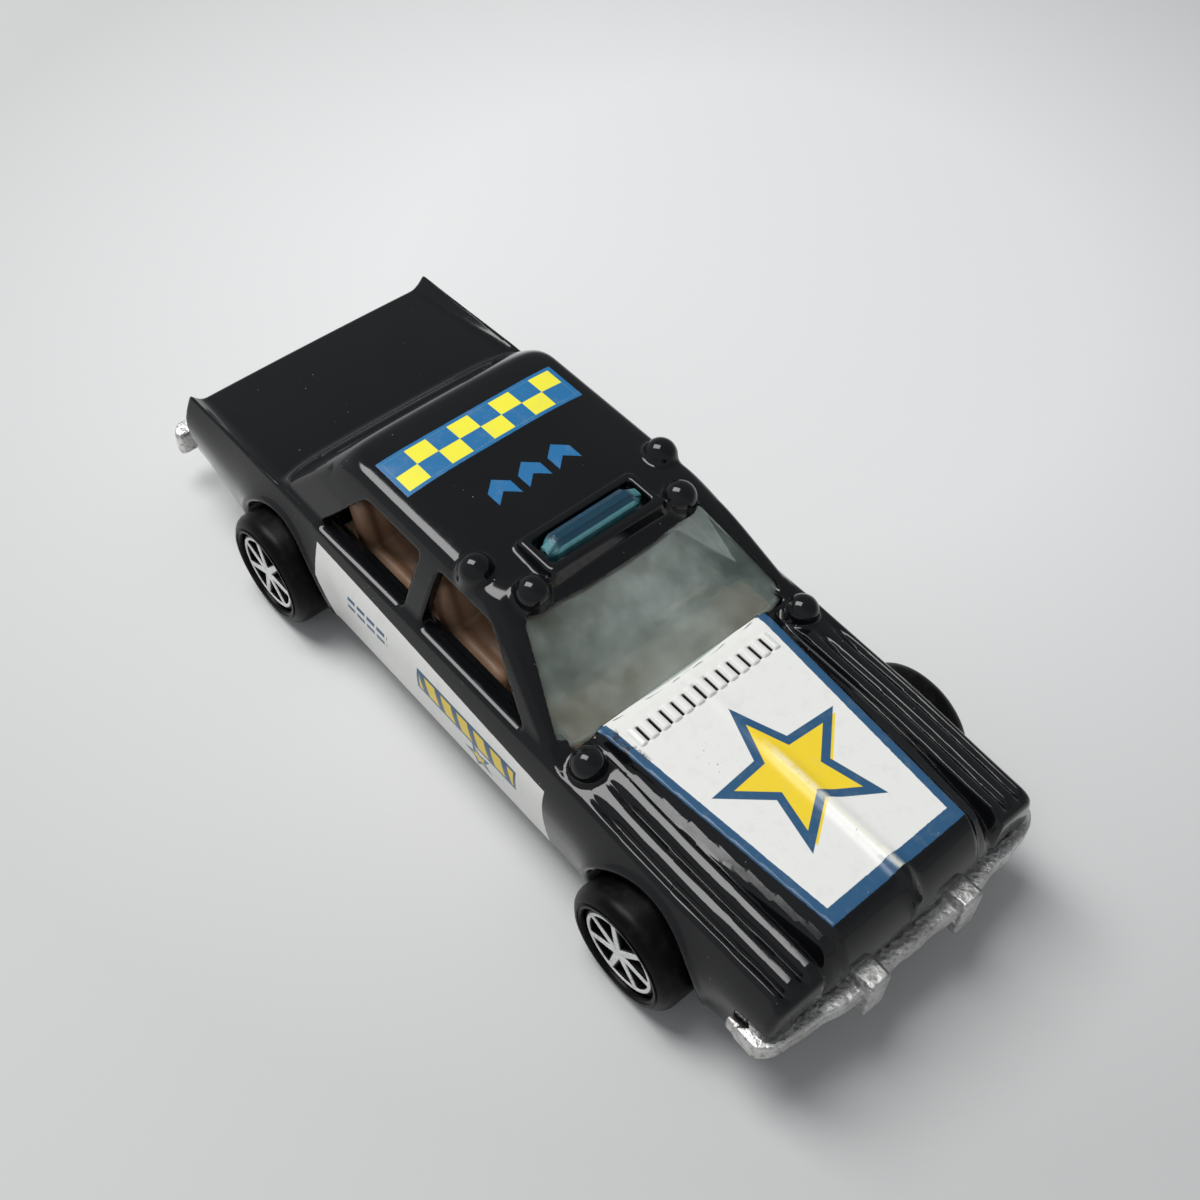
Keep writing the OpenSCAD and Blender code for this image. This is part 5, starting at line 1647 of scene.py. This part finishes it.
@dataclass
class Wheel:
    """One-piece wheel: slick tyre, groove, a face with windows between spokes, and the foil on it."""

    end: str
    side: Side
    centre: tuple[float, float, float]
    tyre_r: float
    width: float
    bore_r: float = 0.56
    shoulder_r: float = 1.15
    rim_r: float = 3.4
    ring_w: float = 0.42
    groove_w: float = 0.35
    face_depth: float = 0.35
    window_depth: float = 0.5
    hub_r: float = 0.95
    spokes: int = 7
    spoke_w: float = 0.62
    spoke_foot_w: float = 0.9
    foil_r: float = 3.3
    foil_ring_w: float = 0.28
    foil_hub_r: float = 0.6
    foil_spoke_w: float = 0.42
    foil_foot_w: float = 0.62
    foil_h: float = 0.1
    foil_step: float = 0.05

    @property
    def name(self) -> str:
        """Name of the wheel, after its place on the car."""
        return f"{self.end}_{self.side.name.lower()}_wheel"

    def profile(self) -> tuple[Array, Array]:
        """Tyre profile from the inner bore over the tread to the groove round the face."""
        arc = np.linspace(0.0, math.pi / 2.0, 10)
        r0 = self.shoulder_r
        inner_r = self.tyre_r - r0 + r0 * np.sin(arc)
        inner_h = r0 - r0 * np.cos(arc)
        outer_r = self.tyre_r - r0 + r0 * np.cos(arc)
        outer_h = self.width - r0 + r0 * np.sin(arc)
        lip = self.rim_r + self.groove_w
        wall_r = np.array([lip + 0.5, lip + 0.14, lip + 0.03, lip, lip - 0.04])
        wall_h = self.width - np.array([0.0, 0.01, 0.08, 0.2, self.face_depth])
        r = np.concatenate([[self.bore_r, self.bore_r, 0.7, 2.6, 2.9], inner_r, outer_r, wall_r])
        h = np.concatenate([[2.2, 0.1, 0.0, 0.0, 0.02], inner_h, outer_h, wall_h])
        return r, h

    def face(self) -> tuple[Array, Array]:
        """Face height on a polar grid: the disc, less windows where a point is off every spoke.

        Returns:
            Points and quads, with the axis along Z.
        """
        radii = np.concatenate([np.linspace(0.0, 0.85, 5), np.linspace(0.9, 1.05, 7),
                                np.linspace(1.15, 2.85, 16), np.linspace(2.9, 3.08, 8),
                                np.linspace(3.15, self.rim_r + self.groove_w - 0.04, 8)])[:, None]
        a = np.linspace(0.0, 2.0 * math.pi, 72 * self.spokes, endpoint=False)[None, :]
        sector = 2.0 * math.pi / self.spokes
        off = np.abs((a + sector / 2.0) % sector - sector / 2.0)
        across = radii * np.sin(off)
        share = clip((radii - self.hub_r / 2.0) / (self.rim_r - self.ring_w / 2.0 - self.hub_r / 2.0))
        clear = across - mix(self.spoke_foot_w, self.spoke_w, share) / 2.0
        clear = np.minimum(clear, np.minimum(radii - self.hub_r, self.rim_r - self.ring_w - radii))
        groove = 0.16 * rise(radii, self.rim_r + 0.03, self.rim_r + 0.14)
        z = self.width - self.face_depth - self.window_depth * rise(clear, -0.02, 0.05) - groove
        points = np.stack([radii * np.cos(a), radii * np.sin(a), z], -1).reshape(-1, 3)
        return points, grid_quads(len(radii), a.size, wrap_columns=True)

    def build(self, material: bpy.types.Material) -> bpy.types.Object:
        """Turns the tyre, lays the face in it and stands the wheel on its axle.

        Args:
            material: The wheel plastic.

        Returns:
            The wheel.
        """
        tyre, tyre_quads = turned(*self.profile(), 144)
        disc, disc_quads = self.face()
        points = np.concatenate([tyre, disc]) - (0.0, 0.0, self.width / 2.0)
        quads = np.concatenate([tyre_quads[:, ::-1], disc_quads + len(tyre)])
        piece = Piece(f"{self.name}_tyre", self.name, "wheel_plastic", (self.name,))
        return piece.dress(mesh_from(piece.name, self.stand(points) + self.centre, quads), material)

    def stand(self, v: Array) -> Array:
        """Turns directions of a wheel that lies with its axis along Z to those of the wheel on the car."""
        turn = self.side.value
        return np.stack([v[:, 0], turn * v[:, 2], -turn * v[:, 1]], -1)

    def stamp_field(self, x: Array, y: Array, z: Array) -> Array:
        """Foil: a thin plate of hub, tapered spokes and ring, with small fillets where they meet."""
        r = np.hypot(x, y)
        sector = 2.0 * math.pi / self.spokes
        off = np.abs((np.arctan2(y, x) + sector / 2.0) % sector - sector / 2.0)
        width = mix(self.foil_foot_w, self.foil_spoke_w, clip(r / self.foil_r))
        spoke = cut(r * np.sin(off) - width / 2.0, r - self.foil_r + 0.05, 0.02)
        ring = np.abs(r - self.foil_r + self.foil_ring_w / 2.0) - self.foil_ring_w / 2.0
        flat = join(join(spoke, ring, 0.12), r - self.foil_hub_r, 0.2)
        return cut(flat, np.abs(z) - self.foil_h / 2.0, 0.03)

    def stamp(self, material: bpy.types.Material) -> bpy.types.Object:
        """Lays the foil on the wheel's face.

        Args:
            material: The foil.

        Returns:
            The foil.
        """
        reach = self.foil_r + 0.2
        mesher = FieldMesher((-reach, -reach, -0.2), (reach, reach, 0.2), self.foil_step)
        points, quads, normals = mesher.run(self.stamp_field)
        points = points + (0.0, 0.0, self.width / 2.0 - self.face_depth + 0.02)
        piece = Piece(f"{self.name}_stamp", self.name, "wheel_foil", (f"{self.name}_foil",))
        made = mesh_from(piece.name, self.stand(points) + self.centre, quads, self.stand(normals))
        return piece.dress(made, material)


@dataclass
class Axle:
    """Wire axle with upset ends."""

    end: str
    x: float
    z: float
    half: float
    radius: float = 0.5
    head_r: float = 0.75
    head_l: float = 0.5

    def build(self, material: bpy.types.Material) -> bpy.types.Object:
        """Turns the wire's profile about Y."""
        n = f"{self.end}_axle"
        head = self.half - self.head_l
        h = np.array([-self.half, -self.half, -self.half + 0.08, -head, -head, head, head,
                      self.half - 0.08, self.half, self.half])
        big = self.head_r
        r = np.array([0.0, big - 0.08, big, big, self.radius, self.radius, big, big, big - 0.08, 0.0])
        points, quads = turned(r, h, 40)
        placed = np.stack([self.x + points[:, 0], points[:, 2], self.z - points[:, 1]], -1)
        obj = mesh_from(f"{n}_wire", placed, quads)
        outward(obj)
        return Piece(obj.name, "car", "axle_wire", (n,)).dress(obj, material)


@dataclass(frozen=True)
class Studio:
    """Pale floor, a soft lamp and the camera at the photograph's angle."""

    aim: Triple = (1.65, 0.0, 10.4)
    azimuth: float = 49.533
    elevation: float = 51.513
    roll: float = 0.492
    distance: float = 115.18
    lens: float = 45.014
    shift_x: float = 0.02185
    shift_y: float = -0.00663
    # Floor colours paint a pool of light and its fall-off: palest in the pool, greyer outside it.
    floor_in_light_pool: Colour = (0.75, 0.75, 0.745)
    floor_past_light_pool: Colour = (0.55, 0.55, 0.545)
    floor_half: float = 900.0
    light_pool_at: tuple[float, float] = (-25.0, 45.0)
    light_pool_r: float = 63.0
    light_pool_fade: float = 54.0
    dim_side: Triple = (0.0, 0.7, 0.714)
    room: tuple[tuple[float, float], ...] = ((0.1, 0.42), (0.62, 0.26))
    room_tint: Colour = (0.97, 1.0, 1.05)
    lamp_at: Triple = (-170.0, -60.0, 400.0)
    lamp_size: tuple[float, float] = (190.0, 320.0)
    lamp_watts: float = 1.72

    def camera(self) -> None:
        """Places the camera on a sphere round the aim point, with its roll and shift."""
        data = bpy.data.cameras.new("camera")
        data.lens = self.lens
        data.sensor_width = 36.0
        data.shift_x, data.shift_y = self.shift_x, self.shift_y
        data.clip_start, data.clip_end = 0.005, 20.0
        cam = bpy.data.objects.new("camera", data)
        a, e = math.radians(self.azimuth), math.radians(self.elevation)
        back = Vector((math.sin(a) * math.cos(e), -math.cos(a) * math.cos(e), math.sin(e)))
        roll = Matrix.Rotation(math.radians(self.roll), 3, "Z").to_quaternion()
        cam.location = (Vector(self.aim) + back * self.distance) * METRE
        cam.rotation_mode = "QUATERNION"
        cam.rotation_quaternion = (-back).to_track_quat("-Z", "Y") @ roll
        bpy.context.scene.collection.objects.link(cam)
        bpy.context.scene.camera = cam

    def floor(self) -> None:
        """Wide floor under the wheels with a painted pool of light: palest behind the car's left side and
        painted greyer with distance from there.
        """
        half = self.floor_half
        corners = np.array([(-half, -half, 0.0), (half, -half, 0.0), (half, half, 0.0), (-half, half, 0.0)])
        ground = mesh_from("floor", corners, np.array([[0, 1, 2, 3]]))
        g = Graph("floor_board")
        haze = g.noise(0.015, 3.0)
        ahead, aside = g.x - self.light_pool_at[0], g.y - self.light_pool_at[1]
        # Painted light: the floor is coloured palest in a round pool behind the car's left side and greyer
        # with distance, in place of the lamp's fall-off.
        light_falloff = g.math("SQRT", ahead * ahead + aside * aside).over(self.light_pool_r, self.light_pool_fade)
        g.set(Base_Color=g.blend(self.floor_in_light_pool, self.floor_past_light_pool, light_falloff), Roughness=0.55 + haze * 0.1)
        ground.data.materials.append(g.material)

    def lamp(self) -> None:
        """Soft rectangular lamp overhead, aimed at the car."""
        data = bpy.data.lights.new("overhead", "AREA")
        data.shape = "RECTANGLE"
        data.size, data.size_y = self.lamp_size[0] * METRE, self.lamp_size[1] * METRE
        data.energy = self.lamp_watts
        lamp = bpy.data.objects.new("overhead", data)
        lamp.location = Vector(self.lamp_at) * METRE
        direction = Vector(self.aim) - Vector(self.lamp_at)
        lamp.rotation_mode = "QUATERNION"
        lamp.rotation_quaternion = direction.to_track_quat("-Z", "Y")
        bpy.context.scene.collection.objects.link(lamp)

    def world(self) -> None:
        """Surroundings like a white room: bright low on the right, dim overhead and on the left."""
        world = bpy.data.worlds.new("room")
        bpy.context.scene.world = world
        world.use_nodes = True
        tree = world.node_tree
        tree.nodes.clear()
        place = tree.nodes.new("ShaderNodeTexCoord")
        lean = tree.nodes.new("ShaderNodeVectorMath")
        lean.operation = "DOT_PRODUCT"
        lean.inputs[1].default_value = self.dim_side
        ramp = tree.nodes.new("ShaderNodeValToRGB")
        for element, (place_on_ramp, grey) in zip(ramp.color_ramp.elements, self.room):
            element.position = place_on_ramp
            element.color = (*(grey * share for share in self.room_tint), 1.0)
        back = tree.nodes.new("ShaderNodeBackground")
        out = tree.nodes.new("ShaderNodeOutputWorld")
        tree.links.new(place.outputs["Generated"], lean.inputs[0])
        tree.links.new(lean.outputs["Value"], ramp.inputs[0])
        tree.links.new(ramp.outputs[0], back.inputs["Color"])
        tree.links.new(back.outputs[0], out.inputs["Surface"])

    def build(self) -> None:
        """Sets up camera, floor, room and lamp."""
        self.camera()
        self.floor()
        self.world()
        self.lamp()
        bpy.context.scene.view_settings.view_transform = "Standard"


def middle_mm(node: str) -> tuple[float, float, float]:
    """Middle of a CAD node's box, in mm."""
    low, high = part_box(node)
    return tuple((low + high) / 2.0 / METRE)


def main() -> None:
    """Builds the studio and every piece of the car in order."""
    logging.basicConfig(level=logging.INFO, format="%(name)s %(message)s")
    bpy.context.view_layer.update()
    Studio().build()
    front, rear = middle_mm("front_left_wheel"), middle_mm("rear_left_wheel")
    plan = CarPlan(front[0], rear[0], front[2])
    lens_low, lens_high = (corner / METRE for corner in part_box("light_bar_lens"))
    base_low, base_high = (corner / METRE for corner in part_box("base_plate"))
    lens = LensSizes((lens_low.x + lens_high.x) / 2.0, lens_high.y - lens_low.y, lens_high.x - lens_low.x,
                     lens_low.z, lens_high.z)
    zinc = Zinc().material()
    BodyShell(plan, lens).build(Enamel().material(plan))
    base = BasePlate(plan, base_high.x, base_low.x)
    base.build(zinc)
    base.rivets(zinc)
    WindowUnit(plan).build(ClearPlastic().material())
    LightBarLens(lens).build(LensPlastic().material(lens))
    SeatTub(plan).build(TanPlastic().material())
    wheel_plastic, foil, steel = WheelPlastic().material(), WheelFoil().material(), Steel().material()
    for end, station in (("front", front), ("rear", rear)):
        _, axle_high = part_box(f"{end}_axle")
        Axle(end, station[0], station[2], axle_high.y / METRE).build(steel)
        for side in Side:
            low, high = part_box(f"{end}_{side.name.lower()}_wheel")
            size = (high - low) / METRE
            centre = middle_mm(f"{end}_{side.name.lower()}_wheel")
            wheel = Wheel(end, side, centre, size.x / 2.0, size.y)
            wheel.build(wheel_plastic)
            wheel.stamp(foil)


if __name__ == "__main__":
    main()
